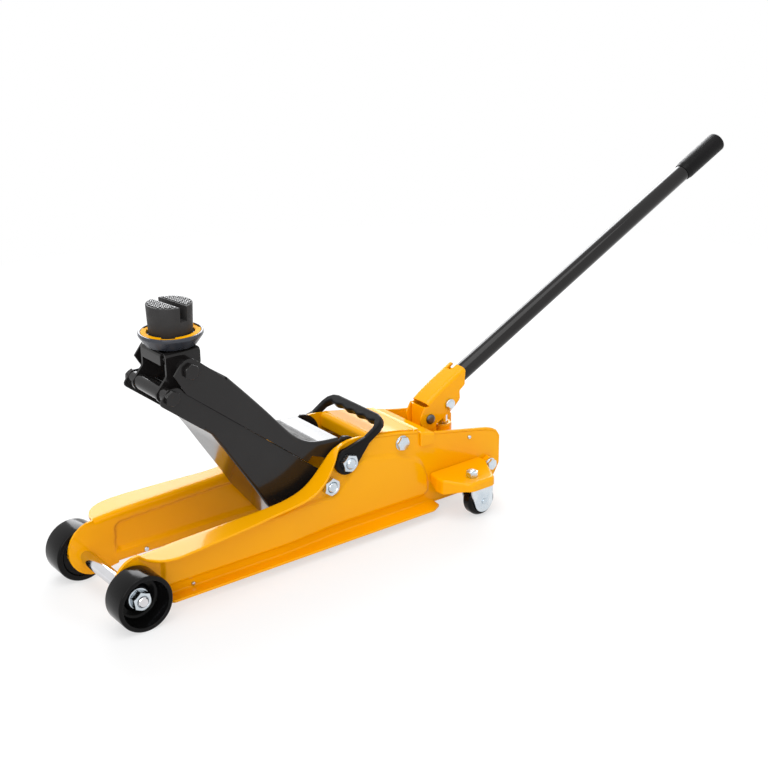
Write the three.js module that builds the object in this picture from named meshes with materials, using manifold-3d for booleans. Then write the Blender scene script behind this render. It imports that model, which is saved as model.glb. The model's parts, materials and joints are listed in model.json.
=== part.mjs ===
// A low-profile trolley jack in millimetres. +Z is up and +X points to the rear, where the handle is.
// Lengths along X are laid out from the front axle. At the end the whole jack is moved so that the
// origin lies on the floor under the middle of its box. The left side is -Y, as seen from the handle.
import * as THREE from "three";
import { mergeVertices } from "three/addons/utils/BufferGeometryUtils.js";
import Module from "manifold-3d";

const wasm = await Module();
wasm.setup();

// ---- Driving sizes ----
const gap = 0.3; // clearance between pieces that touch, or turn in each other
const plateSheet = 3.5; // pressed side plates, caster brackets and saddle bracket
const armSheet = 3; // pressed arms, cover, yoke and socket

// Half-widths of the lifting arms and of the frame around them
const armHalf = 45; // over the lift arm
const linkHalf = armHalf + armSheet + 0.5; // over the parallel link
const bracketHalf = armHalf - 15; // over the saddle bracket, inside the lift arm
const rearHalf = linkHalf + 1.5; // from the middle to a side plate's inner face, at the rear
const frontHalf = rearHalf + 6.5; // the same at the front

// Front wheels on their axle
const wheelRadius = 35;
const wheelWidth = 36;
const wheelPlay = 0.7; // between a wheel's hub and the side plate
const wheelRim = 6;
const wheelRecess = 24; // depth of the dished outer face
const wheelHubRadius = 14;
const wheelHubStep = 3; // how far the hub stands out of the dished face
const axleRadius = 7;
const axleShoulderRadius = 9;
const axleWasherRadius = 13.5;
const axleWasherSheet = 2.3;
const axleNutHeight = 10;
const axleNutFlats = 21;
const studTip = 2; // thread that shows beyond a nut

// Side plates
const jogStart = 215;
const jogEnd = 300;
const noseRadius = 36;
const noseCentre = [14, 43];
const plateFoot = 12; // height of the lower edge
const plateRear = 581;
const plateRearTop = 96.7;
const rampTop = 139.3;
const flangeReach = frontHalf + 40.5; // widest half-width over the top flanges
const lowFlangeReach = frontHalf + 21.2;
const lowFlangeEnd = 461;
const swellHeight = 4; // how far the pressed panel stands out
const swellFront = 42;
const swellRear = 451;
const swellFoot = 28;

// Lifting linkage: two equal bars, with pivots A and C on the frame and B and D on the head
const linkPivot = [314, 114.7]; // A
const armPivot = [289.3, 86.5]; // C
const barLength = 270.9;
const barRise = 38.36; // degrees above level, towards the front
const pivotRadius = 7;
const pivotNutFlats = 21;
const pivotNutHeight = 7;
const headLobe = 15;
const hubTubeRadius = 12;
const spacerRadius = 9;
const pushPinRadius = 6;
const pushPinDrop = 49.9; // from the arm's pivot to the pin that the ram pushes
const pushPinFall = 50.45; // degrees below level, towards the front
const headBoltRadius = 6;
const headBoltFlats = 17;
const headBoltHead = 5.5;
const headSpacerRadius = 9;

// Saddle and its bracket
const bracketFront = 81;
const bracketRear = 127;
const bracketTop = 302;
const lipFront = 78;
const lipHalf = 22;
const lipDrop = 15;
const saddleAxis = 106.1;
const saddleRadius = 38.5;
const saddleWall = 2.9;
const saddleRim = 319.4;
const saddleFloor = 314.5;
const spigotRadius = 9;
const ringWidth = 6.5;
const ringHeight = 4.5;
const padFootRadius = 26;
const padTopRadius = 27.5;
const padTop = 353.1;
const padSlotWidth = 10;
const padSlotDepth = 18;
const padSlotTurn = 8; // degrees

// Carrying handle
const carryTilt = 32.4; // degrees above level, towards the rear
const carryHub = 18;
const carryArm = 7.5; // thickness beside the plate
const carryDepth = 11;
const carryReach = 77.5;
const carryGrip = 12;
const carryCorner = 18;

// Cover and yoke
const coverFront = 353.7;
const coverLip = 13;
const tabFront = 437;
const tabRear = tabFront + 25;
const coverRear = tabFront - 7;
const tabFoot = 100;
const yokeHalf = 13.7;
const yokeFront = tabRear + 14.5;
const yokeFoot = 105;
const yokeTop = 133.5;

// Hydraulic unit
const ramHeight = 44;
const cylinderRadius = 25;
const cylinderFront = 330;
const blockFront = 470;
const blockRear = 545;
const blockTop = 75;
const blockFoot = 20;
const blockHalf = 40;
const lugReach = 12;
const ramRadius = 13;
const ramPlate = 7.3;
const ramPlay = 1.2; // between the ram's plate and the push pin
const ramRear = 418;
const mountBolt = [407.5, 114];
const mountBoltRadius = 5;
const mountBoltFlats = 17;
const valveHeight = 66.5;
const valveRadius = 5;
const plugSide = 24; // across, from the middle
const plugAhead = 30; // in front of the plunger
const plugRadius = 5;
const plungerX = 522;
const plungerRadius = 7;
const pumpRadius = 13;
const pumpTop = 98;

// Pumping socket and handle, laid out along the tube and across it from the tube's lower mouth
const tubeMouth = [551.8, 161.3];
const tubeRise = 26.85; // degrees
const tubeRadius = 12;
const tubeWall = 2;
const tubeInsert = 36;
const sleeveMouth = 8; // how far inside the socket its welded sleeve ends
const gripStart = 494;
const gripEnd = 583;
const gripRadius = 14.2;
const gripCollar = 8;
const socketHalf = 17;
const pinAlong = [-79.1, -10.5];
const pinRadius = 5;
const rollerAlong = [-42.2, -14.1];
const rollerRadius = 4;

// Rear rod, caster brackets and casters
const rodPlace = [557, 46];
const rodRadius = 7;
const rodHexFlats = 18;
const rodHexLength = 8;
const rearBoltRadius = 4;
const rearBoltFlats = 14;
const rearBoltHead = 5.7;
const earReach = 118;
const kingpinPlace = [492, earReach - 20]; // X and |Y|
const kingpinRadius = 5;
const earTop = 57.5;
const earSkirt = 45; // height of the skirt's lower edge
const chinDrop = 8; // how much lower the front stretch of the skirt hangs
const earFront = kingpinPlace[0] - 40;
const earRear = kingpinPlace[0] + 53;
const casterRadius = 22;
const casterWidth = 18;
const casterTrail = 12;
const forkSheet = 3;
const forkRadius = 15.5;
const rivetRadius = 4;

// ---- Finishes ----
const paint = (color, roughness, metalness) =>
  new THREE.MeshStandardMaterial({ color, roughness, metalness });
const yellow = paint(0xf2a400, 0.3, 0);
const black = paint(0x141313, 0.25, 0);
const satin = paint(0x201f20, 0.55, 0);
const rubber = paint(0x3a3838, 0.8, 0);
const zinc = paint(0xc6ccd0, 0.3, 1);
const steel = paint(0xa9adb0, 0.25, 1);
const cast = paint(0x55585c, 0.5, 0.4);

// ---- Solids ----
const degrees = Math.PI / 180;

function signedVolume(positions, corners) {
  let volume = 0;
  const [a, b, c] = [new THREE.Vector3(), new THREE.Vector3(), new THREE.Vector3()];
  for (let i = 0; i < corners.length; i += 3) {
    a.fromArray(positions, corners[i] * 3);
    b.fromArray(positions, corners[i + 1] * 3);
    c.fromArray(positions, corners[i + 2] * 3);
    volume += a.dot(b.cross(c)) / 6;
  }
  return volume;
}

// A closed geometry as a solid, with its faces turned outwards
function solidOf(geometry) {
  const bare = geometry.clone();
  bare.deleteAttribute("normal");
  bare.deleteAttribute("uv");
  const merged = mergeVertices(bare, 1e-4);
  const vertProperties = new Float32Array(merged.attributes.position.array);
  const kept = [];
  const index = merged.index.array;
  for (let i = 0; i < index.length; i += 3) {
    const [a, b, c] = [index[i], index[i + 1], index[i + 2]];
    if (a !== b && b !== c && c !== a) kept.push(a, b, c);
  }
  if (signedVolume(vertProperties, kept) < 0) kept.reverse();
  const triVerts = new Uint32Array(kept);
  return new wasm.Manifold(new wasm.Mesh({ numProp: 3, vertProperties, triVerts }));
}

function geometryOf(solid) {
  const mesh = solid.getMesh();
  const geometry = new THREE.BufferGeometry();
  geometry.setAttribute("position", new THREE.BufferAttribute(new Float32Array(mesh.vertProperties), 3));
  geometry.setIndex(new THREE.BufferAttribute(new Uint32Array(mesh.triVerts), 1));
  geometry.computeVertexNormals();
  return geometry;
}

const join = (first, ...others) => others.reduce((sum, other) => sum.add(other), first);
const cut = (first, ...tools) => tools.reduce((rest, tool) => rest.subtract(tool), first);
const shared = (first, ...others) => others.reduce((rest, other) => rest.intersect(other), first);
const mirrored = (solid) => solidOf(geometryOf(solid).scale(1, -1, 1));

const vector = ([x, y]) => new THREE.Vector2(x, y);
const shapeOf = (points) => new THREE.Shape(points.map(vector));
const extruded = (points, depth) =>
  new THREE.ExtrudeGeometry(shapeOf(points), { depth, bevelEnabled: false });

// A side view [x, z] made solid between two values of Y
function sideways(points, from, to) {
  return solidOf(extruded(points, to - from).rotateX(Math.PI / 2).translate(0, to, 0));
}

// A plan view [x, y] made solid between two heights
function upright(points, from, to) {
  return solidOf(extruded(points, to - from).translate(0, 0, from));
}

// A round bar along Y at [x, z], or along Z at [x, y]
function barY(place, radius, from, to, sides = 16) {
  const bar = new THREE.CylinderGeometry(radius, radius, to - from, sides);
  return solidOf(bar.translate(place[0], (from + to) / 2, place[1]));
}

function barZ(place, radius, from, to, sides = 16) {
  const bar = new THREE.CylinderGeometry(radius, radius, to - from, sides).rotateX(Math.PI / 2);
  return solidOf(bar.translate(place[0], place[1], (from + to) / 2));
}

function barX(place, radius, from, to, sides = 20) {
  const bar = new THREE.CylinderGeometry(radius, radius, to - from, sides).rotateZ(Math.PI / 2);
  return solidOf(bar.translate((from + to) / 2, place[0], place[1]));
}

// A turned profile [radius, height], closed on the axis or on itself
function turned(profile, sides = 24) {
  return new THREE.LatheGeometry(profile.map(vector), sides);
}

const turnedY = (profile, place, sides) => solidOf(turned(profile, sides).translate(place[0], 0, place[1]));
const turnedZ = (profile, place, sides) =>
  solidOf(turned(profile, sides).rotateX(Math.PI / 2).translate(place[0], place[1], 0));

function box(from, to) {
  const size = to.map((value, i) => value - from[i]);
  const block = new THREE.BoxGeometry(...size);
  return solidOf(block.translate(...to.map((value, i) => (value + from[i]) / 2)));
}

// A hexagon over its flats, along Y or along Z, with a chamfered outer end
function hexagon(flats, from, to) {
  const corner = flats / Math.sqrt(3);
  const prism = new THREE.CylinderGeometry(corner, corner, to - from, 6).translate(0, (from + to) / 2, 0);
  const chamfer = corner - flats / 2;
  const far = Math.abs(to) > Math.abs(from) ? to : from;
  const near = far === to ? from : to;
  const inward = Math.sign(near - far);
  const limit = turned([[0, near], [corner + 1, near], [corner + 1, far + inward * (chamfer + 0.6)],
    [flats / 2, far], [0, far]], 12);
  return shared(solidOf(prism), solidOf(limit));
}

function hexY(place, flats, from, to) {
  return solidOf(geometryOf(hexagon(flats, from, to)).translate(place[0], 0, place[1]));
}

function hexZ(place, flats, from, to) {
  return solidOf(geometryOf(hexagon(flats, from, to)).rotateX(Math.PI / 2).translate(place[0], place[1], 0));
}

// ---- Outlines ----
function arc(centre, radius, from, to, pieces = 8) {
  return Array.from({ length: pieces + 1 }, (_, i) => {
    const angle = (from + ((to - from) * i) / pieces) * degrees;
    return [centre[0] + radius * Math.cos(angle), centre[1] + radius * Math.sin(angle)];
  });
}

// An outline whose corners [x, y, radius] are rounded where they name a radius
function rounded(corners, pieces = 3) {
  return corners.flatMap(([x, y, radius = 0], i) => {
    if (radius === 0) return [[x, y]];
    const corner = new THREE.Vector2(x, y);
    const back = vector(corners.at(i - 1)).sub(corner).normalize();
    const ahead = vector(corners[(i + 1) % corners.length]).sub(corner).normalize();
    const half = Math.acos(back.dot(ahead)) / 2;
    const centre = back.clone().add(ahead).normalize().multiplyScalar(radius / Math.sin(half)).add(corner);
    const start = back.multiplyScalar(radius / Math.tan(half)).add(corner).sub(centre).angle();
    const end = ahead.multiplyScalar(radius / Math.tan(half)).add(corner).sub(centre).angle();
    let sweep = end - start;
    if (sweep > Math.PI) sweep -= 2 * Math.PI;
    if (sweep < -Math.PI) sweep += 2 * Math.PI;
    return arc([centre.x, centre.y], radius, start / degrees, (start + sweep) / degrees, pieces);
  });
}

// A smooth line through a few points
function smooth(points, pieces) {
  const stops = points.map(([x, y]) => new THREE.Vector3(x, y, 0));
  const curve = new THREE.CatmullRomCurve3(stops, false, "centripetal");
  return curve.getPoints(pieces).map(({ x, y }) => [x, y]);
}

// A line moved to its right-hand side
function offset(line, distance) {
  return line.map((point, i) => {
    const before = vector(line[Math.max(i - 1, 0)]);
    const after = vector(line[Math.min(i + 1, line.length - 1)]);
    const along = after.sub(before).normalize();
    return [point[0] + along.y * distance, point[1] - along.x * distance];
  });
}

const band = (line, thickness) => [...line, ...offset(line, thickness).reverse()];

// ---- Side plates ----
const innerAt = (x) =>
  frontHalf + (rearHalf - frontHalf) * THREE.MathUtils.clamp((x - jogStart) / (jogEnd - jogStart), 0, 1);
const rearOuter = rearHalf + plateSheet;
const plateOuter = frontHalf + plateSheet;
const axlePlace = [0, wheelRadius];
const frontScrew = [82, plateFoot + 7.2];
const rearScrew = [524.7, 91.7];
const screwRadius = 1.8;

const topLine = smooth([[noseCentre[0], noseCentre[1] + noseRadius], [60, 82.4], [113, 84.4], [190, 87.2],
  [219.5, 90.1], [246.7, 96.5], [266.5, 109.6], [283.3, 125.5], [295, rampTop - 3.3], [308, rampTop],
  [343, rampTop + 0.6], [375, rampTop - 5.5], [422, 126], [plateRear - 117, plateRearTop + 18],
  [plateRear - 90, plateRearTop + 12.9], [plateRear - 23, plateRearTop]], 32);

function topAt(x) {
  const i = topLine.findIndex((point) => point[0] > x);
  const [from, to] = [topLine[i - 1], topLine[i]];
  return from[1] + ((to[1] - from[1]) * (x - from[0])) / (to[0] - from[0]);
}

const plateOutline = rounded([
  ...arc(noseCentre, noseRadius, 270, 90, 12),
  ...topLine.slice(1),
  [plateRear, plateRearTop - 8, 18],
  [plateRear, 38, 8],
  [plateRear - 10, plateFoot + 9, 10],
  [plateRear - 31, plateFoot, 8],
  [noseCentre[0] + 30, plateFoot],
]);

const swell = rounded([
  [swellFront, swellFoot, 9],
  [swellFront, 66, 9],
  [193, 72.5],
  [246, 73.5],
  [jogEnd + 1, 71.5, 6],
  [jogEnd + 30, 104, 14],
  [jogEnd + 44, 110, 12],
  [swellRear - 54, 100, 25],
  [swellRear - 11, 80, 30],
  [swellRear, 50, 20],
  [swellRear, swellFoot, 12],
]);

// The space between two distances out from the inner face, as wide as the plate is long
function besideWeb(from, to) {
  const stops = [noseCentre[0] - noseRadius - 1, jogStart, jogEnd, plateRear + 1];
  const near = stops.map((x) => [x, innerAt(x) + from]);
  const far = stops.map((x) => [x, innerAt(x) + to]);
  return upright([...near, ...far.reverse()], 0, 200);
}

const outward = (points) => sideways(points, rearHalf - 2, flangeReach + 1);

function tabSweep(clearance) {
  const stops = [tabFront - clearance, tabFront + 8, tabRear - 8, tabRear + clearance];
  const line = stops.map((x) => [x, topAt(x)]);
  return [...line, ...line.map(([x, z]) => [x, z - armSheet - clearance]).reverse()];
}

function sidePlate() {
  const hollow = offset([...swell, swell[0], swell[1]], plateSheet).slice(1, -1);
  const web = shared(outward(plateOutline), besideWeb(0, plateSheet));
  const panel = cut(
    join(web, shared(outward(swell), besideWeb(plateSheet - 0.5, plateSheet + swellHeight))),
    shared(outward(hollow), besideWeb(-1, swellHeight)),
  );
  const reach = [
    [12, plateSheet], [20, 26.5], [30, 34.5], [42, 39.5], [60, flangeReach - frontHalf], [100, 37.5],
    [150, 32.5], [190, 26.9], [224, 27.2], [245, 29.4], [262, 29.1], [275, 26.5], [291, 19.3], [301, 10],
    [313, 5.4], [325, 3.6],
  ];
  const edge = smooth(reach.map(([x, beyond]) => [x, innerAt(x) + beyond]), 24);
  const inside = [[325, innerAt(325)], [jogEnd, rearHalf], [jogStart, frontHalf], [12, frontHalf]];
  const topFlange = shared(outward(band(topLine, plateSheet)), upright([...edge, ...inside], 0, 200));
  const low = rounded([[44, frontHalf], [44, lowFlangeReach, 5], [lowFlangeEnd - 16, lowFlangeReach, 7],
    [lowFlangeEnd - 2, 70, 3], [lowFlangeEnd, rearHalf + 1], [jogEnd, rearHalf + 1], [jogStart, frontHalf]]);
  const lowFlange = upright(low, plateFoot, plateFoot + plateSheet);
  const through = (place, radius) => barY(place, radius + gap, rearHalf - 5, flangeReach);
  return cut(
    join(panel, topFlange, lowFlange),
    through(axlePlace, axleRadius),
    through(linkPivot, pivotRadius),
    through(armPivot, pivotRadius),
    through(mountBolt, mountBoltRadius),
    through(rodPlace, rodRadius),
    ...[frontScrew, rearScrew].map((place) => through(place, screwRadius)),
    sideways(tabSweep(gap + 0.05), rearHalf - 1, rearOuter + 1),
    sideways(tabSweep(gap + 0.05).map(([x, z]) => [x, z + 3]), rearHalf - 1, rearOuter + 1),
  );
}

// ---- Front wheels and axle ----
const wheelInner = plateOuter + wheelPlay + 0.3;
const wheelOuter = wheelInner + wheelWidth;
const hubFace = wheelOuter - wheelRecess + wheelHubStep;
const washerFace = hubFace + gap + axleWasherSheet;
const nutFace = washerFace + gap + axleNutHeight;

function frontWheel() {
  const bore = axleRadius + gap;
  const floor = wheelOuter - wheelRecess;
  const edge = 1.5;
  return turnedY([
    [bore, wheelInner - 0.5],
    [wheelHubRadius, wheelInner - 0.5],
    [wheelHubRadius + 1, wheelInner],
    [wheelRadius - edge, wheelInner],
    [wheelRadius, wheelInner + edge],
    [wheelRadius, wheelOuter - edge],
    [wheelRadius - edge, wheelOuter],
    [wheelRadius - wheelRim, wheelOuter],
    [wheelRadius - wheelRim - 2, floor],
    [wheelHubRadius + 1, floor],
    [wheelHubRadius, hubFace],
    [bore, hubFace],
    [bore, wheelInner - 0.5],
  ], axlePlace, 36);
}

const frontAxle = () => join(
  barY(axlePlace, axleRadius, -nutFace - studTip, nutFace + studTip),
  barY(axlePlace, axleShoulderRadius, gap - frontHalf, frontHalf - gap),
);

const axleWasher = () => cut(
  barY(axlePlace, axleWasherRadius, hubFace + gap, washerFace, 24),
  barY(axlePlace, axleRadius + gap, hubFace, washerFace + 1),
);

const nutY = (place, flats, from, to, bore) =>
  cut(hexY(place, flats, from, to), barY(place, bore + gap, from - 1, to + 1));

// ---- Linkage ----
const along = [-Math.cos(barRise * degrees), Math.sin(barRise * degrees)];
const across = [along[1], -along[0]];
const onBar = (pivot) => ([s, n]) =>
  [pivot[0] + s * along[0] + n * across[0], pivot[1] + s * along[1] + n * across[1]];
const headPivot = onBar(linkPivot)([barLength, 0]); // B
const footPivot = onBar(armPivot)([barLength, 0]); // D
const bothSides = (points, from, to) => join(sideways(points, from, to), sideways(points, -to, -from));

// The deep arm is open at the top and the rear. Its web runs along the underside.
const pushPin = [
  armPivot[0] - pushPinDrop * Math.cos(pushPinFall * degrees),
  armPivot[1] - pushPinDrop * Math.sin(pushPinFall * degrees),
];

function liftArm() {
  const armTip = barLength + 9;
  const under = [[barLength - 64, -14.5], [barLength - 77.9, -14.5], [barLength - 102.9, -22.5],
    [barLength - 125.9, -30.5], [94, -48], [66, -58.5], [5, -73.5]];
  const outline = rounded([
    ...arc([0, 0], 20, 90, 180, 8),
    [-20, -45, 8],
    [-9, -70, 4],
    ...under.slice().reverse(),
    [armTip, under[0][1], 5],
    [armTip, 6, 8],
    [barLength - 2, headLobe, 10],
    [barLength - 16, 12],
    [14, 12],
  ]).map(onBar(armPivot));
  const web = band(under, armSheet).map(onBar(armPivot));
  const pins = [barY(armPivot, hubTubeRadius, -armHalf, armHalf),
    barY(armPivot, spacerRadius, gap - rearHalf, rearHalf - gap),
    barY(pushPin, pushPinRadius, -armHalf, armHalf)];
  const far = barLength + headLobe + 1;
  return cut(
    join(bothSides(outline, armHalf - armSheet, armHalf), sideways(web, -armHalf, armHalf), ...pins),
    barY(armPivot, pivotRadius + gap, -far, far),
    barY(footPivot, headBoltRadius + gap, -far, far),
  );
}

// The upper link has its web on top, and its cheeks pass outside the deep arm
function parallelLink() {
  const ridge = smooth([
    [22, 21], [42, 7.5], [60, -1], [84, -4.5], [111, -1], [142, 4.5], [180, 10.5], [barLength - 52, 16],
  ], 22);
  const clearOfPivot = 26.5;
  const outline = [
    ...ridge,
    [barLength - 47, headLobe - 1],
    ...arc([barLength, 0], headLobe, 78, 0, 8),
    [barLength + headLobe, -15],
    [barLength - 11.9, -25.5],
    [47, -25],
    [46, -15.5],
    ...arc([0, 0], clearOfPivot, -19, -104, 8),
    ...arc([0, 0], 30.8, -112, -316, 18),
  ].map(onBar(linkPivot));
  const web = band(offset(ridge, 0.2), armSheet).map(onBar(linkPivot));
  return cut(
    join(bothSides(outline, linkHalf - armSheet, linkHalf), sideways(web, -linkHalf, linkHalf)),
    barY(linkPivot, pivotRadius + gap, -linkHalf - 1, linkHalf + 1),
    barY(headPivot, headBoltRadius + gap, -linkHalf - 1, linkHalf + 1),
  );
}

const carryInner = rearOuter + 0.5;
const carryOuter = carryInner + carryArm;

const linkShaft = () => {
  const end = carryOuter + gap + pivotNutHeight + studTip;
  const inside = linkHalf - armSheet - gap;
  return join(barY(linkPivot, pivotRadius, -end, end), barY(linkPivot, spacerRadius, -inside, inside));
};

const armBolt = () => {
  const end = rearOuter + 1 + pivotNutHeight + studTip;
  return barY(armPivot, pivotRadius, -end, end);
};

const pivotNut = (place, from) => nutY(place, pivotNutFlats, from, from + pivotNutHeight, pivotRadius);

// A bolt through the head, with a hexagon at each end and a spacer beside each cheek of the bracket
function headBolt(place, half) {
  const head = half + gap + headBoltHead;
  const sleeve = armHalf - armSheet - gap;
  return join(
    barY(place, headSpacerRadius, bracketHalf + gap, sleeve),
    barY(place, headSpacerRadius, -sleeve, -bracketHalf - gap),
    barY(place, headBoltRadius, -half - gap - 0.5, half + gap + 0.5),
    hexY(place, headBoltFlats, half + gap, head),
    hexY(place, headBoltFlats, -half - gap, -head),
  );
}

// ---- Saddle and bracket ----
function saddleBracket() {
  const cheek = rounded([
    [bracketFront, bracketTop],
    [bracketFront, footPivot[1] + 20, 6],
    ...arc(footPivot, 11, 165, 330, 10),
    [bracketRear - 7, 268, 8],
    [bracketRear, 284, 8],
    [bracketRear, bracketTop],
  ]);
  const under = bracketTop - plateSheet;
  const top = box([bracketFront, -bracketHalf, under], [bracketRear, bracketHalf, bracketTop]);
  const tab = box([lipFront, -lipHalf, under], [bracketFront + 1, lipHalf, bracketTop]);
  const lip = box([lipFront, -lipHalf, bracketTop - lipDrop], [lipFront + plateSheet, lipHalf, bracketTop]);
  const inside = bracketHalf - plateSheet;
  return cut(
    join(bothSides(cheek, inside, bracketHalf), top, tab, lip, barY(footPivot, 9.5, -inside - 1, inside + 1)),
    barY(footPivot, headBoltRadius + gap, -bracketHalf - 1, bracketHalf + 1),
    barY(headPivot, headBoltRadius + gap, -bracketHalf - 1, bracketHalf + 1),
    barZ([saddleAxis, 0], spigotRadius + gap, bracketTop - 20, bracketTop + 10),
  );
}

function saddle() {
  const foot = bracketTop + gap;
  const inner = saddleRadius - saddleWall;
  return turnedZ([[0, foot - 9], [spigotRadius, foot - 9], [spigotRadius, foot], [28, foot],
    [30.5, foot + 1.5], [saddleRadius - 1, foot + 11.5], [saddleRadius, foot + 13.5],
    [saddleRadius, saddleRim], [inner, saddleRim], [inner, saddleFloor], [0, saddleFloor]],
  [saddleAxis, 0], 32);
}

function saddleRing() {
  const outer = saddleRadius - saddleWall - gap;
  const foot = saddleFloor + gap;
  const ring = turnedZ([[outer - ringWidth, foot], [outer, foot], [outer, foot + ringHeight],
    [outer - ringWidth, foot + ringHeight], [outer - ringWidth, foot]], [saddleAxis, 0], 32);
  const notch = (turn) => {
    const wedge = new THREE.BoxGeometry(16, ringWidth + 6, 3);
    wedge.translate(0, outer - ringWidth / 2, foot + ringHeight).rotateZ(turn * degrees);
    return solidOf(wedge.translate(saddleAxis, 0, 0));
  };
  return cut(ring, ...[25, 145, 265].map(notch));
}

function saddlePad() {
  const foot = saddleFloor + gap;
  const profile = [[0, foot], [padFootRadius, foot], [padTopRadius, padTop], [0, padTop]];
  const pad = turnedZ(profile, [saddleAxis, 0], 28);
  const slot = new THREE.BoxGeometry(padSlotWidth, 2 * padTopRadius + 10, 2 * padSlotDepth);
  return cut(pad, solidOf(slot.rotateZ(padSlotTurn * degrees).translate(saddleAxis, 0, padTop)));
}

// ---- Carrying handle ----
function carryHandle() {
  const tilt = carryTilt * degrees;
  const inner = carryReach - carryGrip;
  const finger = carryInner - 6;
  const bumps = Array.from({ length: 25 }, (_, i) => {
    const y = finger - (2 * finger * i) / 24;
    return [y, inner - 3.4 * Math.max(0, Math.abs(Math.sin((2 * Math.PI * (y + finger)) / finger)) - 0.35)];
  });
  const outline = rounded([
    [carryOuter, 0],
    [carryOuter, carryReach, carryCorner],
    [-carryOuter, carryReach, carryCorner],
    [-carryOuter, 0],
    [-carryInner, 0],
    [-carryInner, inner - 8],
    ...bumps.reverse(),
    [carryInner, inner - 8],
    [carryInner, 0],
  ]);
  const arch = new THREE.ExtrudeGeometry(shapeOf(outline), { depth: carryDepth, bevelEnabled: false });
  const frame = new THREE.Matrix4().makeBasis(
    new THREE.Vector3(0, 1, 0),
    new THREE.Vector3(Math.cos(tilt), 0, Math.sin(tilt)),
    new THREE.Vector3(Math.sin(tilt), 0, -Math.cos(tilt)),
  );
  arch.translate(0, 0, -carryDepth / 2).applyMatrix4(frame).translate(linkPivot[0], 0, linkPivot[1]);
  const shoulder = [[3, carryHub - 0.5], [39, carryDepth / 2], [39, -carryDepth / 2], [3, 0.5 - carryHub]]
    .map(([r, n]) => [
      linkPivot[0] + r * Math.cos(tilt) - n * Math.sin(tilt),
      linkPivot[1] + r * Math.sin(tilt) + n * Math.cos(tilt),
    ]);
  return cut(
    join(solidOf(arch), bothSides(shoulder, carryInner, carryOuter),
      barY(linkPivot, carryHub, carryInner, carryOuter, 24),
      barY(linkPivot, carryHub, -carryOuter, -carryInner, 24)),
    barY(linkPivot, pivotRadius + gap, -carryOuter - 1, carryOuter + 1),
  );
}

// ---- Cover and yoke ----
const lineBetween = (from, to, drop) => {
  const xs = [from, from + (to - from) / 3, from + (2 * (to - from)) / 3, to];
  return xs.map((x) => [x, topAt(x) - drop]);
};

function topCover() {
  const half = rearHalf - gap;
  const sheet = band(lineBetween(coverFront, coverRear, 0.8), armSheet);
  const front = topAt(coverFront) - 0.8;
  const behind = coverFront + armSheet;
  const foot = front - coverLip;
  const lip = [[coverFront, front], [behind, front - 1], [behind, foot], [coverFront, foot]];
  return join(sideways(sheet, -half, half), sideways(lip, -half, half));
}

const tubeAlong = [Math.cos(tubeRise * degrees), Math.sin(tubeRise * degrees)];
const onTube = ([a, p]) =>
  [tubeMouth[0] + a * tubeAlong[0] - p * tubeAlong[1], tubeMouth[1] + a * tubeAlong[1] + p * tubeAlong[0]];
const pinPlace = onTube(pinAlong);
const rollerPlace = onTube(rollerAlong);

function handleYoke() {
  const half = rearHalf - gap;
  const base = band(lineBetween(coverRear + gap, tabRear, 0.8), armSheet);
  const strip = tabSweep(0);
  const leg = rounded([[tabFront, topAt(tabFront) - 1], [tabFront, tabFoot, 3], [tabRear, tabFoot, 3],
    [tabRear, topAt(tabRear) - 1]]);
  const tabOuter = rearOuter + gap + armSheet;
  const ledge = [tabRear - 3, topAt(tabRear) - 1];
  const nose = [ledge, [yokeFront, yokeFoot], [yokeFront, yokeTop]];
  const wall = [
    ...nose,
    [yokeFront + armSheet, yokeTop],
    [yokeFront + armSheet, yokeFoot - armSheet],
    [ledge[0], ledge[1] - armSheet],
  ];
  const cheek = [
    ...nose,
    [yokeFront + 4.5, yokeTop],
    ...arc(pinPlace, 14, 105, 0, 8),
    [pinPlace[0] + 14, blockTop + gap],
    [pinPlace[0] - 14, blockTop + gap],
    [ledge[0], ledge[1] - armSheet],
  ];
  return cut(
    join(
      sideways(base, -half, half),
      sideways(strip, -tabOuter, tabOuter),
      bothSides(leg, rearOuter + gap, tabOuter),
      sideways(wall, -yokeHalf, yokeHalf),
      bothSides(cheek, yokeHalf - armSheet, yokeHalf),
    ),
    barY(pinPlace, pinRadius + gap, -yokeHalf - 1, yokeHalf + 1),
  );
}

// ---- Hydraulic unit ----
function ramCylinder() {
  const lug = rounded([[mountBolt[0] - 11, ramHeight + 5], [mountBolt[0] - 11, mountBolt[1] + 8, 5],
    [mountBolt[0] + 11, mountBolt[1] + 6, 5], [mountBolt[0] + 11, ramHeight + 5]]);
  const half = rearHalf - gap;
  const [earX, earZ] = mountBolt;
  const ears = box([earX - 20, -half, earZ - 14], [earX + 20, half, earZ + 20]);
  const upper = shared(sideways(lug, -half, half), ears);
  const barrel = barX([0, ramHeight], cylinderRadius, cylinderFront, blockFront - gap, 24);
  return cut(
    join(barrel, sideways(lug, -20, 20), upper),
    barX([0, ramHeight], ramRadius + gap, cylinderFront - 1, blockFront - 5),
    barY(mountBolt, mountBoltRadius + gap, half - 14, half + 1),
    barY(mountBolt, mountBoltRadius + gap, -half - 1, 14 - half),
  );
}

const plugPlace = [plungerX - plugAhead, plugSide];

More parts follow.
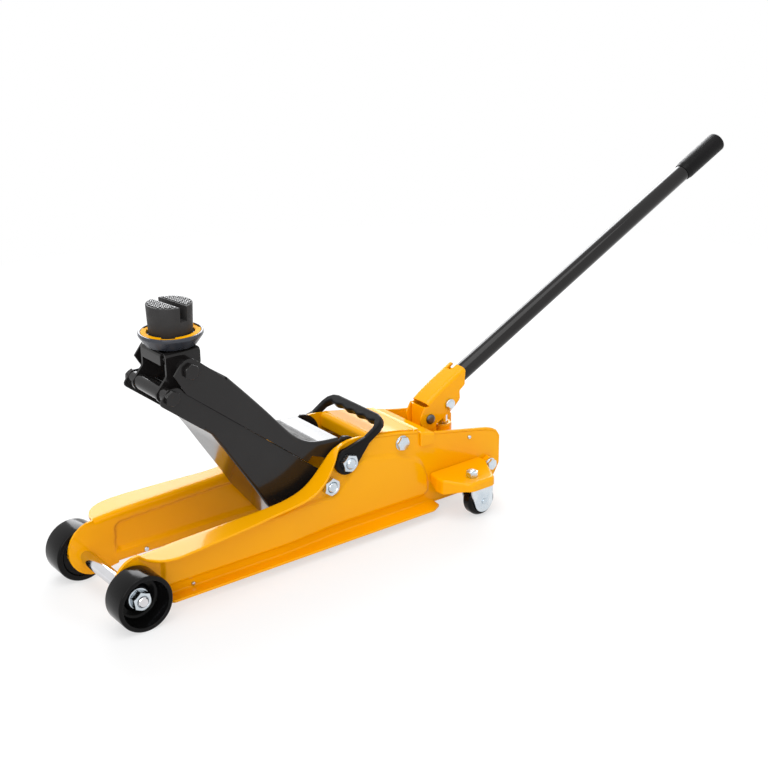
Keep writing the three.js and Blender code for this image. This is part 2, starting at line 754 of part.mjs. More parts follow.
function pumpBlock() {
  const body = box([blockFront, -blockHalf, blockFoot], [blockRear, blockHalf, blockTop]);
  const lugEnd = rodPlace[0] + lugReach;
  const lug = rounded([
    [blockRear - 1, rodPlace[1] - lugReach],
    [lugEnd, rodPlace[1] - lugReach, 8],
    [lugEnd, rodPlace[1] + lugReach, 8],
    [blockRear - 1, rodPlace[1] + lugReach],
  ]);
  return cut(
    join(body, sideways(lug, -12, 12), barZ([plungerX, 0], pumpRadius, blockTop - 1, pumpTop, 20)),
    barY(rodPlace, rodRadius + gap, -20, 20),
    barZ([plungerX, 0], plungerRadius + gap, 50, pumpTop + 1),
    barZ(plugPlace, plugRadius + gap, blockTop - 10, blockTop + 1, 12),
    barX([0, valveHeight], valveRadius + gap, blockRear - 16, blockRear + 1, 12),
  );
}

function ram() {
  const face = pushPin[0] + pushPinRadius + ramPlay;
  const plate = box([face, -30, ramHeight - 18], [face + ramPlate, 30, ramHeight + 18]);
  return join(plate, barX([0, ramHeight], ramRadius, face + ramPlate - 1, ramRear));
}

function pumpPlunger() {
  const crown = rollerPlace[1] - rollerRadius - gap;
  return join(
    barZ([plungerX, 0], plungerRadius, 70, crown - 2),
    barZ([plungerX, 0], plungerRadius + 2, crown - 3, crown),
  );
}

const fillerPlug = () => join(
  barZ(plugPlace, plugRadius, blockTop - 9, blockTop + 1, 12),
  barZ(plugPlace, plugRadius + 2, blockTop + gap, blockTop + 3, 12),
);

// A round stem with a flat tongue for the handle to turn
const releaseValve = () => join(
  barX([0, valveHeight], valveRadius, blockRear - 15, blockRear + 12, 12),
  box([blockRear + 11, -1.5, valveHeight - 4], [blockRear + 18, 1.5, valveHeight + 4]),
);

function mountBoltSolid() {
  const face = rearOuter + gap;
  return join(barY(mountBolt, mountBoltRadius, rearHalf - 12, face + 1, 12),
    hexY(mountBolt, mountBoltFlats, face, face + 5.5));
}

// ---- Socket, tube and grip ----
function handleSocket() {
  const ridge = [[-73, 12.3], [-60, 14.4], [-38, 16], [2.5, 17]].map(onTube);
  const lobe = 16;
  const outline = rounded([
    ...arc(pinAlong, lobe, 128, 295, 12),
    [-48, -25, 4],
    [-35, -23.4, 6],
    [-23.5, -20, 7],
    [-19, -8.6, 3],
    [-7.5, -6.6, 4],
    [-3, 2, 3],
    [2.5, 17],
    [-38, 16],
    [-60, 14.4],
    [-73, 12.3],
  ], 4).map(onTube);
  const notch = rounded([[-9, 5], [4, 5], [4, 25], [-9, 25]]).map(onTube);
  const bore = tubeRadius + gap;
  const weld = socketHalf - armSheet + 0.6;
  const sleeve = alongTube([[bore, 2 - tubeInsert], [weld, 2 - tubeInsert], [weld, -sleeveMouth],
    [bore, -sleeveMouth], [bore, 2 - tubeInsert]], 20);
  return cut(
    join(bothSides(outline, socketHalf - armSheet, socketHalf),
      sideways(band(ridge, armSheet), -socketHalf, socketHalf), sleeve),
    sideways(notch, -1, 8),
    barY(pinPlace, pinRadius + gap, -30, 30),
    barY(rollerPlace, rollerRadius + gap, -30, 30),
  );
}

function crossPin(place, radius, headRadius, headHeight) {
  const face = socketHalf + gap;
  return join(
    barY(place, radius, -face - 1, face + 1, 12),
    barY(place, headRadius, face, face + headHeight),
    barY(place, headRadius, -face - headHeight, -face),
  );
}

// Turned along Y, then laid along the handle's axis
function alongTube(profile, sides) {
  const lathe = turned(profile, sides).rotateZ(-Math.PI / 2).rotateY(-tubeRise * degrees);
  return solidOf(lathe.translate(tubeMouth[0], 0, tubeMouth[1]));
}

const handleTube = () => {
  const inner = tubeRadius - tubeWall;
  const end = gripEnd - 8;
  return alongTube([[inner, -tubeInsert], [tubeRadius, -tubeInsert], [tubeRadius, end], [inner, end],
    [inner, -tubeInsert]], 20);
};

const handleGrip = () => {
  const bore = tubeRadius + gap;
  const floor = gripEnd - 7;
  return alongTube([[bore, gripStart], [bore + 0.7, gripStart], [gripRadius, gripStart + gripCollar],
    [gripRadius + 0.4, gripEnd - 6], [gripRadius - 1.6, gripEnd - 2], [gripRadius - 5, gripEnd], [0, gripEnd],
    [0, floor], [bore, floor], [bore, gripStart]], 20);
};

// ---- Rear rod, brackets and casters ----
const hexFace = rearOuter + gap + rodHexLength;

function rearRod() {
  const ends = [-1, 1].map((side) => hexY(rodPlace, rodHexFlats, side * (rearOuter + gap), side * hexFace));
  return cut(
    join(barY(rodPlace, rodRadius, -rearOuter - 1, rearOuter + 1), ...ends),
    barY(rodPlace, rearBoltRadius + gap, hexFace - 16, hexFace + 1, 12),
    barY(rodPlace, rearBoltRadius + gap, -hexFace - 1, 16 - hexFace, 12),
  );
}

const rearBolt = () => join(
  barY(rodPlace, rearBoltRadius, hexFace - 14, hexFace + 1, 12),
  hexY(rodPlace, rearBoltFlats, hexFace + gap, hexFace + gap + rearBoltHead),
);

const earPlan = (inset) => {
  const wall = rearOuter + gap;
  return rounded([
    [earFront + inset + 4, wall],
    [earFront + inset, wall + 18, 8 - inset],
    [earFront + inset, 84, 10],
    [kingpinPlace[0] - 18 + inset / 2, earReach - inset, 14],
    [kingpinPlace[0] + 24 - inset / 2, earReach - inset, 12 - inset],
    [earRear - inset, 66, 14],
    [earRear - inset, wall],
  ]);
};

function casterBracket() {
  const foot = earTop - plateSheet;
  const sheet = upright(earPlan(0), foot, earTop);
  const skirt = cut(upright(earPlan(0), earSkirt, foot + 1),
    upright(earPlan(plateSheet), earSkirt - 10, foot),
    box([earFront, rearOuter - 1, earSkirt - 10], [earRear, rearOuter + gap + 6, foot - 6]));
  const chin = cut(
    upright(earPlan(0), earSkirt - chinDrop, earSkirt + 1),
    upright(earPlan(plateSheet), 0, earTop),
    box([earFront + 7, 0, 0], [earRear + 20, earReach + 5, earTop]),
    box([earFront - 5, 0, 0], [earFront + 18, 66, earTop]),
  );
  return cut(join(sheet, skirt, chin), barZ(kingpinPlace, kingpinRadius + gap, foot - 5, earTop + 5));
}

const forkTop = earTop - plateSheet - 4.2;

const kingpin = () => {
  const seat = earTop - plateSheet - gap;
  const head = forkTop - forkSheet - gap;
  return turnedZ([
    [0, head - 2.2],
    [7, head - 2.2],
    [7, head],
    [kingpinRadius, head],
    [kingpinRadius, seat - 3.6],
    [8, seat - 3.6],
    [8, seat],
    [kingpinRadius, seat],
    [kingpinRadius, earTop + 9.5],
    [0, earTop + 9.5],
  ], kingpinPlace, 16);
};

const kingpinNut = () => cut(
  hexZ(kingpinPlace, 15, earTop + gap, earTop + gap + 7.5),
  barZ(kingpinPlace, kingpinRadius + gap, earTop, earTop + 12),
);

const casterAxle = [kingpinPlace[0] + casterTrail, casterRadius];

function casterFork() {
  const [x, y] = kingpinPlace;
  const inner = casterWidth / 2 + 0.5;
  const outer = inner + forkSheet;
  const low = earSkirt - 0.8;
  const cheek = [
    [x - 9.5, forkTop], [x - 9.5, low], [x - 9.5, 38],
    ...arc(casterAxle, 15.5, 200, 345, 12),
    [casterAxle[0] + 15.3, low - 3], [casterAxle[0] + 13, low],
    [x + 9.5, low], [x + 9.5, forkTop],
  ];
  const reach = casterWidth / 2 + 0.5 + forkSheet;
  const plate = shared(barZ([x, y], forkRadius, forkTop - forkSheet, forkTop, 24),
    box([x - 20, y - reach, 0], [x + 20, y + reach, 60]));
  return cut(
    join(plate, sideways(cheek, y + inner, y + outer), sideways(cheek, y - outer, y - inner),
      barY(casterAxle, rivetRadius, y - outer - 1.5, y + outer + 1.5)),
    barZ([x, y], kingpinRadius + gap, forkTop - 5, forkTop + 1),
  );
}

function casterWheel() {
  const y = kingpinPlace[1];
  const half = casterWidth / 2;
  const bore = rivetRadius + gap;
  const profile = [[bore, -half], [casterRadius - 3, -half], [casterRadius - 0.8, 1.5 - half],
    [casterRadius, 5 - half], [casterRadius, half - 5], [casterRadius - 0.8, half - 1.5],
    [casterRadius - 3, half], [bore, half], [bore, -half]];
  return turnedY(profile.map(([radius, side]) => [radius, y + side]), casterAxle, 30);
}

function plateScrew([x, z]) {
  const inner = innerAt(x);
  const outer = inner + plateSheet;
  const head = 2.8;
  return turnedY([[0, inner - 3], [3, inner - 3], [3, inner - gap], [screwRadius, inner - gap],
    [screwRadius, outer + gap], [head, outer + gap], [head - 0.6, outer + 2.6], [0, outer + 2.6]], [x, z], 8);
}

// ---- Assembly ----
const jack = new THREE.Group();

function place(name, solid, material) {
  const mesh = new THREE.Mesh(geometryOf(solid), material);
  mesh.name = name;
  jack.add(mesh);
}

// The piece is made on the +Y side, which is the right, and mirrored for the left
function placePair(name, solid, material) {
  place(`${name}_right`, solid, material);
  place(`${name}_left`, mirrored(solid), material);
}

placePair("side_plate", sidePlate(), yellow);
place("front_axle", frontAxle(), steel);
placePair("front_wheel", frontWheel(), black);
placePair("axle_washer", axleWasher(), zinc);
placePair("axle_nut", nutY(axlePlace, axleNutFlats, washerFace + gap, nutFace, axleRadius), zinc);
place("top_cover", topCover(), yellow);
place("handle_yoke", handleYoke(), yellow);

place("link_pivot_shaft", linkShaft(), zinc);
const linkNutFrom = carryOuter + gap;
placePair("link_pivot_nut", pivotNut(linkPivot, linkNutFrom), zinc);
place("arm_pivot_bolt", armBolt(), zinc);
const armNutFrom = innerAt(armPivot[0] - pivotNutFlats / 1.7) + plateSheet + gap;
placePair("arm_pivot_nut", pivotNut(armPivot, armNutFrom), zinc);
placePair("mount_bolt", mountBoltSolid(), zinc);
placePair("front_screw", plateScrew(frontScrew), zinc);
placePair("rear_screw", plateScrew(rearScrew), zinc);

place("rear_cross_rod", rearRod(), yellow);
placePair("rear_bolt", rearBolt(), zinc);
placePair("caster_bracket", casterBracket(), yellow);
placePair("kingpin", kingpin(), zinc);
placePair("kingpin_nut", kingpinNut(), zinc);
placePair("caster_fork", casterFork(), zinc);
placePair("caster_wheel", casterWheel(), black);

place("ram_cylinder", ramCylinder(), cast);
place("pump_block", pumpBlock(), yellow);
place("ram", ram(), steel);
place("pump_plunger", pumpPlunger(), steel);
place("filler_plug", fillerPlug(), rubber);
place("release_valve", releaseValve(), steel);

place("lift_arm", liftArm(), black);
place("lower_head_bolt", headBolt(footPivot, armHalf), black);
place("parallel_link", parallelLink(), black);
place("saddle_bracket", saddleBracket(), black);
place("upper_head_bolt", headBolt(headPivot, linkHalf), black);
place("saddle", saddle(), satin);
place("saddle_ring", saddleRing(), yellow);
place("saddle_pad", saddlePad(), rubber);

place("carry_handle", carryHandle(), satin);
place("handle_socket", handleSocket(), yellow);
place("socket_pin", crossPin(pinPlace, pinRadius, 7, 3), steel);
place("socket_roller", crossPin(rollerPlace, rollerRadius, 7.8, 4), zinc);
place("handle_tube", handleTube(), black);
place("handle_grip", handleGrip(), satin);

const frontEnd = -wheelRadius;
const rearEnd = tubeMouth[0] + gripEnd * tubeAlong[0] + (gripRadius - 5) * tubeAlong[1];
jack.position.x = -(frontEnd + rearEnd) / 2;

export default jack;
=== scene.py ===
"""The looks of a low-profile trolley jack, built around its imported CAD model.

Lengths in the shape functions are millimetres and are turned into metres where a mesh is made.
"""

import json
import math

import bmesh
import bpy
import numpy as np
from mathutils import Matrix, Vector

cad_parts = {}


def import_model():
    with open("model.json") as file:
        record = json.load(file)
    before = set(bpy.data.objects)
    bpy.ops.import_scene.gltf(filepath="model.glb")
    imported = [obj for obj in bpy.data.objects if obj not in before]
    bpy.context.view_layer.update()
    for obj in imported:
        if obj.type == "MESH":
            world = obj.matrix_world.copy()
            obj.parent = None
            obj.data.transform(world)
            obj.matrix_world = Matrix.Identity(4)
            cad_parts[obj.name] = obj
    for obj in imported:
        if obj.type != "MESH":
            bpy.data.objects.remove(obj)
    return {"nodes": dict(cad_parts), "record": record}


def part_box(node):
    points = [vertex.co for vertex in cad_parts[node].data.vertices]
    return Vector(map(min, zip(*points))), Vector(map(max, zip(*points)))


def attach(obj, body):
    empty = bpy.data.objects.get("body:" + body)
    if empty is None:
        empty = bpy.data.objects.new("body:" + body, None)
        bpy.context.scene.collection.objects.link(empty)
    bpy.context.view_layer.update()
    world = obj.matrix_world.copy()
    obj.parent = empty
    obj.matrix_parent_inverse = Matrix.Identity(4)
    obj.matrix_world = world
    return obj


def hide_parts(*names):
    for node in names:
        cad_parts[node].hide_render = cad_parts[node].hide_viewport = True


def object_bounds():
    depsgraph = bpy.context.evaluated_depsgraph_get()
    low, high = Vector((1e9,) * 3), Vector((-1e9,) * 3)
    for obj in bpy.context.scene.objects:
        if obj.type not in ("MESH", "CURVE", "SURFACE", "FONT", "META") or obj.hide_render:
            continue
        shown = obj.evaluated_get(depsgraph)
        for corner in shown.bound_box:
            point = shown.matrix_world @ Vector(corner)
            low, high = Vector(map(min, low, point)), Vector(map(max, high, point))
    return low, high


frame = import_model()
cad_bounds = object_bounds()

MM = 0.001
record = frame["record"]
body_of = {node: body for body, nodes in record["behaviour"]["bodies"].items() for node in nodes}
slot_of = {entry["node"]: entry["material_slot"] for entry in record["subparts"]}
joint_of = {joint["child"]: joint for joint in record["behaviour"]["joints"]}
SIDES = {"right": 1, "left": -1}


# ---- Materials ----
RAMP = (0.35, 0.65)  # the stretch of a noise that is spread over a whole ramp
GLOSS_FINENESS = 9  # how much finer the drift of gloss is than the drift of colour


def new_material(name):
    material = bpy.data.materials.new(name)
    material.use_nodes = True
    nodes = material.node_tree.nodes
    return material, nodes, material.node_tree.links, nodes["Principled BSDF"]


def fed(made, **values):
    """A shader node with its input sockets set by name."""
    for name, value in values.items():
        made.inputs[name.replace("_", " ")].default_value = value
    return made


def node(nodes, kind, **values):
    return fed(nodes.new(kind), **values)


def noise(nodes, links, scale, detail=3.0, stretch=(1, 1, 1)):
    """A noise that is fixed to the piece, with its scale in cycles per metre."""
    place = nodes.new("ShaderNodeTexCoord")
    mapping = node(nodes, "ShaderNodeMapping", Scale=stretch)
    texture = node(nodes, "ShaderNodeTexNoise", Scale=scale, Detail=detail)
    links.new(place.outputs["Object"], mapping.inputs["Vector"])
    links.new(mapping.outputs["Vector"], texture.inputs["Vector"])
    return texture.outputs["Fac"]


def ramp(nodes, links, source, *ends):
    """Spreads a noise over a range of grey values or colours."""
    made = nodes.new("ShaderNodeValToRGB")
    for stop, place, value in zip(made.color_ramp.elements, RAMP, ends):
        stop.position = place
        stop.color = (*value, 1) if isinstance(value, tuple) else (value, value, value, 1)
    links.new(source, made.inputs["Fac"])
    return made.outputs["Color"]


def finish_material(name, colours, roughness, metallic=0.0, coat=0.0, patch=14.0, grain=(700.0, 0.1, 0.0002),
                    stretch=(1, 1, 1), specular=0.5):
    """A finish with a slow drift of colour, an uneven gloss and a fine relief.

    The grain is the relief's scale, its strength and its height in metres.
    """
    material, nodes, links, shader = new_material(name)
    drift = noise(nodes, links, patch)
    links.new(ramp(nodes, links, drift, *colours), shader.inputs["Base Color"])
    gloss = noise(nodes, links, patch * GLOSS_FINENESS, 5.0, stretch)
    links.new(ramp(nodes, links, gloss, *roughness), shader.inputs["Roughness"])
    fed(shader, Metallic=metallic, Specular_IOR_Level=specular, Coat_Weight=coat, Coat_Roughness=0.05)
    scale, strength, distance = grain
    bump = node(nodes, "ShaderNodeBump", Strength=strength, Distance=distance)
    links.new(noise(nodes, links, scale, 2.0, stretch), bump.inputs["Height"])
    links.new(bump.outputs["Normal"], shader.inputs["Normal"])
    return material


# Each finish: the two colours and the two roughnesses that it drifts between, and what sets it apart
PAINT_GRAIN = (420.0, 0.02, 0.0001)
FINISHES = {
    "yellow_paint": (((0.885, 0.385, 0.0), (0.9, 0.395, 0.0)), (0.22, 0.25),
                     {"specular": 0.05, "coat": 0.25, "grain": PAINT_GRAIN}),
    "ring_yellow": (((0.885, 0.4, 0.0), (0.9, 0.41, 0.0)), (0.5, 0.6), {"specular": 0.04}),
    "black_paint": (((0.01, 0.009, 0.009), (0.013, 0.012, 0.012)), (0.14, 0.18),
                    {"specular": 0.16, "coat": 0.25, "grain": PAINT_GRAIN}),
    "wheel_black": (((0.003, 0.003, 0.003), (0.005, 0.0045, 0.005)), (0.12, 0.2),
                    {"specular": 0.13, "grain": (260.0, 0.06, 0.0003)}),
    "dark_cast": (((0.035, 0.038, 0.048), (0.05, 0.055, 0.07)), (0.25, 0.36),
                  {"metallic": 0.35, "grain": (900.0, 0.15, 0.0003)}),
    "satin_black": (((0.004, 0.004, 0.004), (0.006, 0.0055, 0.006)), (0.34, 0.46),
                    {"specular": 0.12, "grain": (1300.0, 0.3, 0.0003)}),
    "zinc_plate": (((0.55, 0.62, 0.68), (0.68, 0.73, 0.77)), (0.16, 0.3),
                   {"metallic": 1.0, "patch": 60.0, "grain": (1500.0, 0.12, 0.0002)}),
    "bright_steel": (((0.6, 0.6, 0.62), (0.7, 0.7, 0.72)), (0.06, 0.14),
                     {"metallic": 1.0, "patch": 30.0, "grain": (800.0, 0.05, 0.0001), "stretch": (6, 1, 6)}),
    "dark_steel": (((0.09, 0.1, 0.11), (0.16, 0.17, 0.18)), (0.28, 0.4),
                   {"metallic": 1.0, "patch": 90.0, "grain": (1200.0, 0.15, 0.0002)}),
    "grey_cast": (((0.16, 0.17, 0.185), (0.22, 0.23, 0.25)), (0.42, 0.6),
                  {"metallic": 0.3, "grain": (500.0, 0.5, 0.0006)}),
    "pad_rubber": (((0.02, 0.019, 0.019), (0.028, 0.027, 0.027)), (0.5, 0.65),
                   {"specular": 0.3, "grain": (1600.0, 0.35, 0.0003)}),
    # A lighter grey for the pyramids' flat tips: a painted highlight standing for their glints.
    "knurl_tip_highlight": (((0.15, 0.15, 0.15), (0.34, 0.34, 0.34)), (0.25, 0.4),
                     {"patch": 900.0, "grain": (1600.0, 0.2, 0.0003)}),
}
MATERIALS = {name: finish_material(name, colours, roughness, **others)
             for name, (colours, roughness, others) in FINISHES.items()}


# ---- Meshes ----
COINCIDENT = 1e-6  # metres: points of a new mesh this close are one point
WELD = 2e-5  # metres: the same for the CAD's own meshes
ROUND_STEPS = 96  # points round a turned piece


def linked(name, data):
    """A new object in the scene."""
    made = bpy.data.objects.new(name, data)
    bpy.context.scene.collection.objects.link(made)
    return made


def mesh_object(name, mesh, sharp=32.0):
    """An object with a mesh that is smooth except at its real edges."""
    mesh.name = name
    mesh.shade_smooth()
    mesh.set_sharp_from_angle(angle=math.radians(sharp))
    return linked(name, mesh)


def solid_mesh(vertices, faces):
    """A closed mesh from points in millimetres, with its faces turned outwards."""
    mesh = bpy.data.meshes.new("solid")
    mesh.from_pydata([Vector(v) * MM for v in vertices], [], faces)
    shape = bmesh.new()
    shape.from_mesh(mesh)
    bmesh.ops.remove_doubles(shape, verts=shape.verts, dist=COINCIDENT)
    bmesh.ops.recalc_face_normals(shape, faces=shape.faces)
    shape.to_mesh(mesh)
    shape.free()
    return mesh


def joined(*meshes):
    """Several meshes as one."""
    shape = bmesh.new()
    for mesh in meshes:
        shape.from_mesh(mesh)
    made = bpy.data.meshes.new("joined")
    shape.to_mesh(made)
    shape.free()
    return made


def stand_for(made, cad_name, *finishes):
    """The piece takes the place of its CAD node, in its slot's finish unless others are named."""
    slot = slot_of[cad_name]
    for finish in finishes or [slot]:
        made.data.materials.append(MATERIALS[finish])
    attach(made, body_of[cad_name])
    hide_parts(cad_name)


def turned(cad_name, mesh, sharp=32.0):
    """A turned mesh as the piece that stands for a CAD node."""
    stand_for(mesh_object(f"turned_{cad_name}", mesh, sharp), cad_name)


def modified(made, kind, **values):
    """Applies a modifier to an object."""
    modifier = made.modifiers.new("step", kind)
    for name, value in values.items():
        setattr(modifier, name, value)
    bpy.context.view_layer.update()
    depsgraph = bpy.context.evaluated_depsgraph_get()
    mesh = bpy.data.meshes.new_from_object(made.evaluated_get(depsgraph))
    made.modifiers.clear()
    made.data = mesh
    return made


def edged(made, width, segments, angle):
    """Breaks the edges of an object that turn by more than an angle in degrees."""
    return modified(made, "BEVEL", limit_method="ANGLE", angle_limit=math.radians(angle), width=width * MM,
                    segments=segments)


def freed(made):
    """The mesh of an object that was only needed to work on it."""
    mesh = made.data
    bpy.data.objects.remove(made)
    return mesh


def cut_with(mesh, cutter):
    """A mesh with a closed cutter mesh taken out of it."""
    tool = mesh_object("cutter", cutter)
    made = modified(mesh_object("cut", mesh), "BOOLEAN", object=tool, solver="EXACT")
    bpy.data.objects.remove(tool)
    return freed(made)


def box_mesh(low, high, matrix):
    """A box between two corners, in millimetres, moved by a matrix."""
    corners = [matrix @ Vector((x, y, z)) for x in (low[0], high[0]) for y in (low[1], high[1])
               for z in (low[2], high[2])]
    faces = [(0, 1, 3, 2), (4, 6, 7, 5), (0, 4, 5, 1), (2, 3, 7, 6), (0, 2, 6, 4), (1, 5, 7, 3)]
    return solid_mesh(corners, faces)


def fillet(corners, steps=5):
    """An outline whose corners (x, y, radius) are rounded where they name a radius."""
    points = []
    for i, corner in enumerate(corners):
        here = Vector(corner[:2])
        radius = corner[2] if len(corner) > 2 else 0
        if radius == 0:
            points.append(tuple(here))
            continue
        back = (Vector(corners[i - 1][:2]) - here).normalized()
        ahead = (Vector(corners[(i + 1) % len(corners)][:2]) - here).normalized()
        half = back.angle(ahead) / 2
        centre = here + (back + ahead).normalized() * radius / math.sin(half)
        first = here + back * radius / math.tan(half) - centre
        last = here + ahead * radius / math.tan(half) - centre
        for step in range(steps + 1):
            turn = first.angle_signed(last) * step / steps
            points.append(tuple(centre + Matrix.Rotation(-turn, 2) @ first))
    return points


def band_faces(count, rings, closed=True):
    """The faces between rings of count points, with the last ring joined to the first one if closed."""
    faces = []
    for ring in range(rings if closed else rings - 1):
        here, following = ring * count, (ring + 1) % rings * count
        for i in range(count):
            j = (i + 1) % count
            faces.append((here + i, here + j, following + j, following + i))
    return faces


def placed(origin, axis):
    """The matrix that lays +Z along an axis at a point, in millimetres."""
    turn = Vector(axis).to_track_quat("Z", "Y").to_matrix().to_4x4()
    return Matrix.Translation(Vector(origin)) @ turn


def on_ring(radius, angle, height):
    return Vector((radius * math.cos(angle), radius * math.sin(angle), height))


def lathe(profile, origin, axis, turns=ROUND_STEPS):
    """A closed profile (radius, height) turned about an axis, with its points in order."""
    matrix = placed(origin, axis)
    angles = [2 * math.pi * step / turns for step in range(turns)]
    vertices = [matrix @ on_ring(radius, angle, height) for angle in angles for radius, height in profile]
    return solid_mesh(vertices, band_faces(len(profile), turns))


CHAMFER_CIRCLE = 0.97  # the circle where a hexagon's chamfer starts, as a share of the width across flats
CHAMFER_FALL = 0.55
HEXAGON_FOOT = 0.25  # the broken edge at a hexagon's foot
BORE_LIP = 0.7  # the chamfer of a nut's bore


def hexagon_mesh(flats, bore, height, origin, axis, spin):
    """A nut or a bolt head, turned by a spin in degrees, with its outer end chamfered by a cone."""
    matrix = placed(origin, axis)
    circle = flats / 2 * CHAMFER_CIRCLE
    lip = BORE_LIP if bore > 0 else 0.0
    vertices = []
    for step in range(ROUND_STEPS):
        angle = 2 * math.pi * step / ROUND_STEPS
        side = (angle + math.pi / 6) % (math.pi / 3) - math.pi / 6
        reach = flats / 2 / math.cos(side)
        drop = max(0.0, reach - circle) * CHAMFER_FALL
        ring = [(bore, 0), (reach - HEXAGON_FOOT, 0), (reach, HEXAGON_FOOT), (reach, height - drop),
                (circle, height), (bore + lip, height), (bore, height - lip)]
        vertices += [matrix @ on_ring(radius, angle + math.radians(spin), z) for radius, z in ring]
    return solid_mesh(vertices, band_faces(len(ring), ROUND_STEPS))


def thread_profile(radius, start, end, pitch=1.5, depth=0.55):
    """The ridges of a thread, as profile points from start to end."""
    turns = int((end - start) / pitch)
    step = (end - start) / turns
    points = []
    for i in range(turns):
        points += [(radius, start + step * (i + 0.1)), (radius - depth, start + step * (i + 0.6))]
    return [*points, (radius - depth, end)]


def middle(cad_name):
    """The middle of a CAD node, in millimetres."""
    low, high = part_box(cad_name)
    return (low + high) / 2 / MM


def extent(cad_name):
    """The lowest and highest corners of a CAD node, in millimetres."""
    low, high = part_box(cad_name)
    return low / MM, high / MM


def radius_of(cad_name, axis):
    """Half the width of a CAD node along X (0), Y (1) or Z (2), in millimetres."""
    low, high = extent(cad_name)
    return (high[axis] - low[axis]) / 2


def span_of(cad_name, axis):
    """Where a CAD node starts along an axis through its middle, and its length along it, in millimetres."""
    low, high = extent(cad_name)
    length = abs((high - low).dot(Vector(axis)))
    return middle(cad_name) - Vector(axis) * length / 2, length


def joint_place(body):
    """The place (x, z) of the joint that carries a body, in millimetres."""
    x, _, z = joint_of[body]["pos_m"]
    return x / MM, z / MM


# ---- Sheet metal taken from the CAD solids ----
SHEET = 3.0  # thickness, where no other one is given
FOLD_STEPS = 5
WEB_LEAST = 5.0  # the shortest straight stretch of an outline that carries a web
FREE_ROOM = 1.1  # how many fold radii a free corner keeps from a fold's end
SHEET_EDGE = 0.5  # how far a sheet's edges are broken


def cad_shape(source):
    """A copy of a CAD node's mesh with its points welded."""
    shape = bmesh.new()
    shape.from_mesh(frame["nodes"][source].data)
    bmesh.ops.remove_doubles(shape, verts=shape.verts, dist=WELD)
    return shape


def softened(source, edge=0.5, fold=None, segments=3, finishes=()):
    """The CAD solid of a node as the piece that stands for it, with its edges broken.

    Its folds are rounded where fold names their radius. They are edges between two faces that both reach
    further from them than the sheet is thick.
    """
    shape = cad_shape(source)
    bmesh.ops.dissolve_limit(shape, angle_limit=math.radians(1.2), verts=shape.verts, edges=shape.edges)
    bmesh.ops.dissolve_degenerate(shape, edges=shape.edges, dist=WELD)
    layer = shape.edges.layers.float.new("bevel_weight_edge")
    widest = fold or edge
    for line in shape.edges:
        if len(line.link_faces) != 2 or line.calc_face_angle(0) < math.radians(28):
            continue
        start = line.verts[0].co
        way = (line.verts[1].co - start).normalized()
        reach = min(max((v.co - start).cross(way).length for v in face.verts) for face in line.link_faces)
        line[layer] = edge / widest
        if fold and reach > 1.3 * SHEET * MM:
            line[layer] = (fold if line.is_convex else max(fold - SHEET, 0.6)) / widest
    mesh = bpy.data.meshes.new(source)
    shape.to_mesh(mesh)
    shape.free()
    made = mesh_object(f"worked_{source}", mesh)
    modified(made, "BEVEL", limit_method="WEIGHT", width=widest * MM, segments=segments,
             use_clamp_overlap=False, harden_normals=True)
    stand_for(made, source, *finishes)


def outline_at(source, axis, level):
    """The outer edge of the flat faces of a CAD node at a level, in millimetres and in order."""
    shape = cad_shape(source)
    found = {face for face in shape.faces if abs(face.normal[axis]) > 0.995
             and abs(face.calc_center_median()[axis] - level * MM) < 0.05 * MM}
    left = [line for line in shape.edges if sum(face in found for face in line.link_faces) == 1]
    loops = []
    while left:
        line = left.pop()
        first, here = line.verts
        loop = [first, here]
        while here != first:
            line = next(other for other in here.link_edges if other in left)
            left.remove(line)
            here = line.other_vert(here)
            loop.append(here)
        loops.append([v.co / MM for v in loop[:-1]])
    shape.free()
    plane = [a for a in range(3) if a != axis]
    loop = max(loops, key=lambda spots: sum((a - b).length for a, b in zip(spots, spots[1:])))
    points = [Vector((spot[plane[0]], spot[plane[1]])) for spot in loop]
    points = [spot for k, spot in enumerate(points) if (spot - points[k - 1]).length > 0.15]
    area = sum(a.x * b.y - b.x * a.y for a, b in zip(points, points[1:] + points[:1]))
    return points if area > 0 else points[::-1]


def inside_test(source):
    """Tells whether a point in millimetres lies inside a CAD node."""
    made = frame["nodes"][source]

    def test(spot):
        hit, place, normal, _ = made.closest_point_on_mesh(Vector(spot) * MM)
        return hit and (place - Vector(spot) * MM).dot(normal) > 0
    return test


def across(start, end):
    """The way square to an edge of an outline, into what it encloses."""
    along = (end - start).normalized()
    return Vector((-along.y, along.x))


def inward(points, k, webbed):
    """The way from an outline's point into the sheet beside it, as long as a miter needs."""
    count = len(points)
    ways = [across(points[start % count], points[end % count])
            for start, end in ((k - 1, k), (k, k + 1)) if webbed[start % count]]
    total = sum(ways, Vector((0, 0)))
    return total.normalized() / max(0.6, total.length / len(ways))


def fold_arc(fold):
    """The steps (inward, along) of a fold's quarter turn, from the flat face to the side."""
    angles = [math.pi / 2 * step / FOLD_STEPS for step in range(FOLD_STEPS + 1)]
    return [(fold * (1 - math.sin(a)), fold * (1 - math.cos(a))) for a in angles]


def numbered(rows):
    """All the points of the rows as one list, and each row as their numbers in it."""
    ends = np.cumsum([0] + [len(row) for row in rows]).tolist()
    return [spot for row in rows for spot in row], [range(*pair) for pair in zip(ends, ends[1:])]


def web_faces(rows, webbed):
    """The faces between each marked row of points and the next one."""
    faces = []
    for k, here in enumerate(rows):
        following = rows[(k + 1) % len(rows)]
        if webbed[k]:
            faces += [(following[i], here[i], here[i + 1], following[i + 1]) for i in range(len(here) - 1)]
    return faces


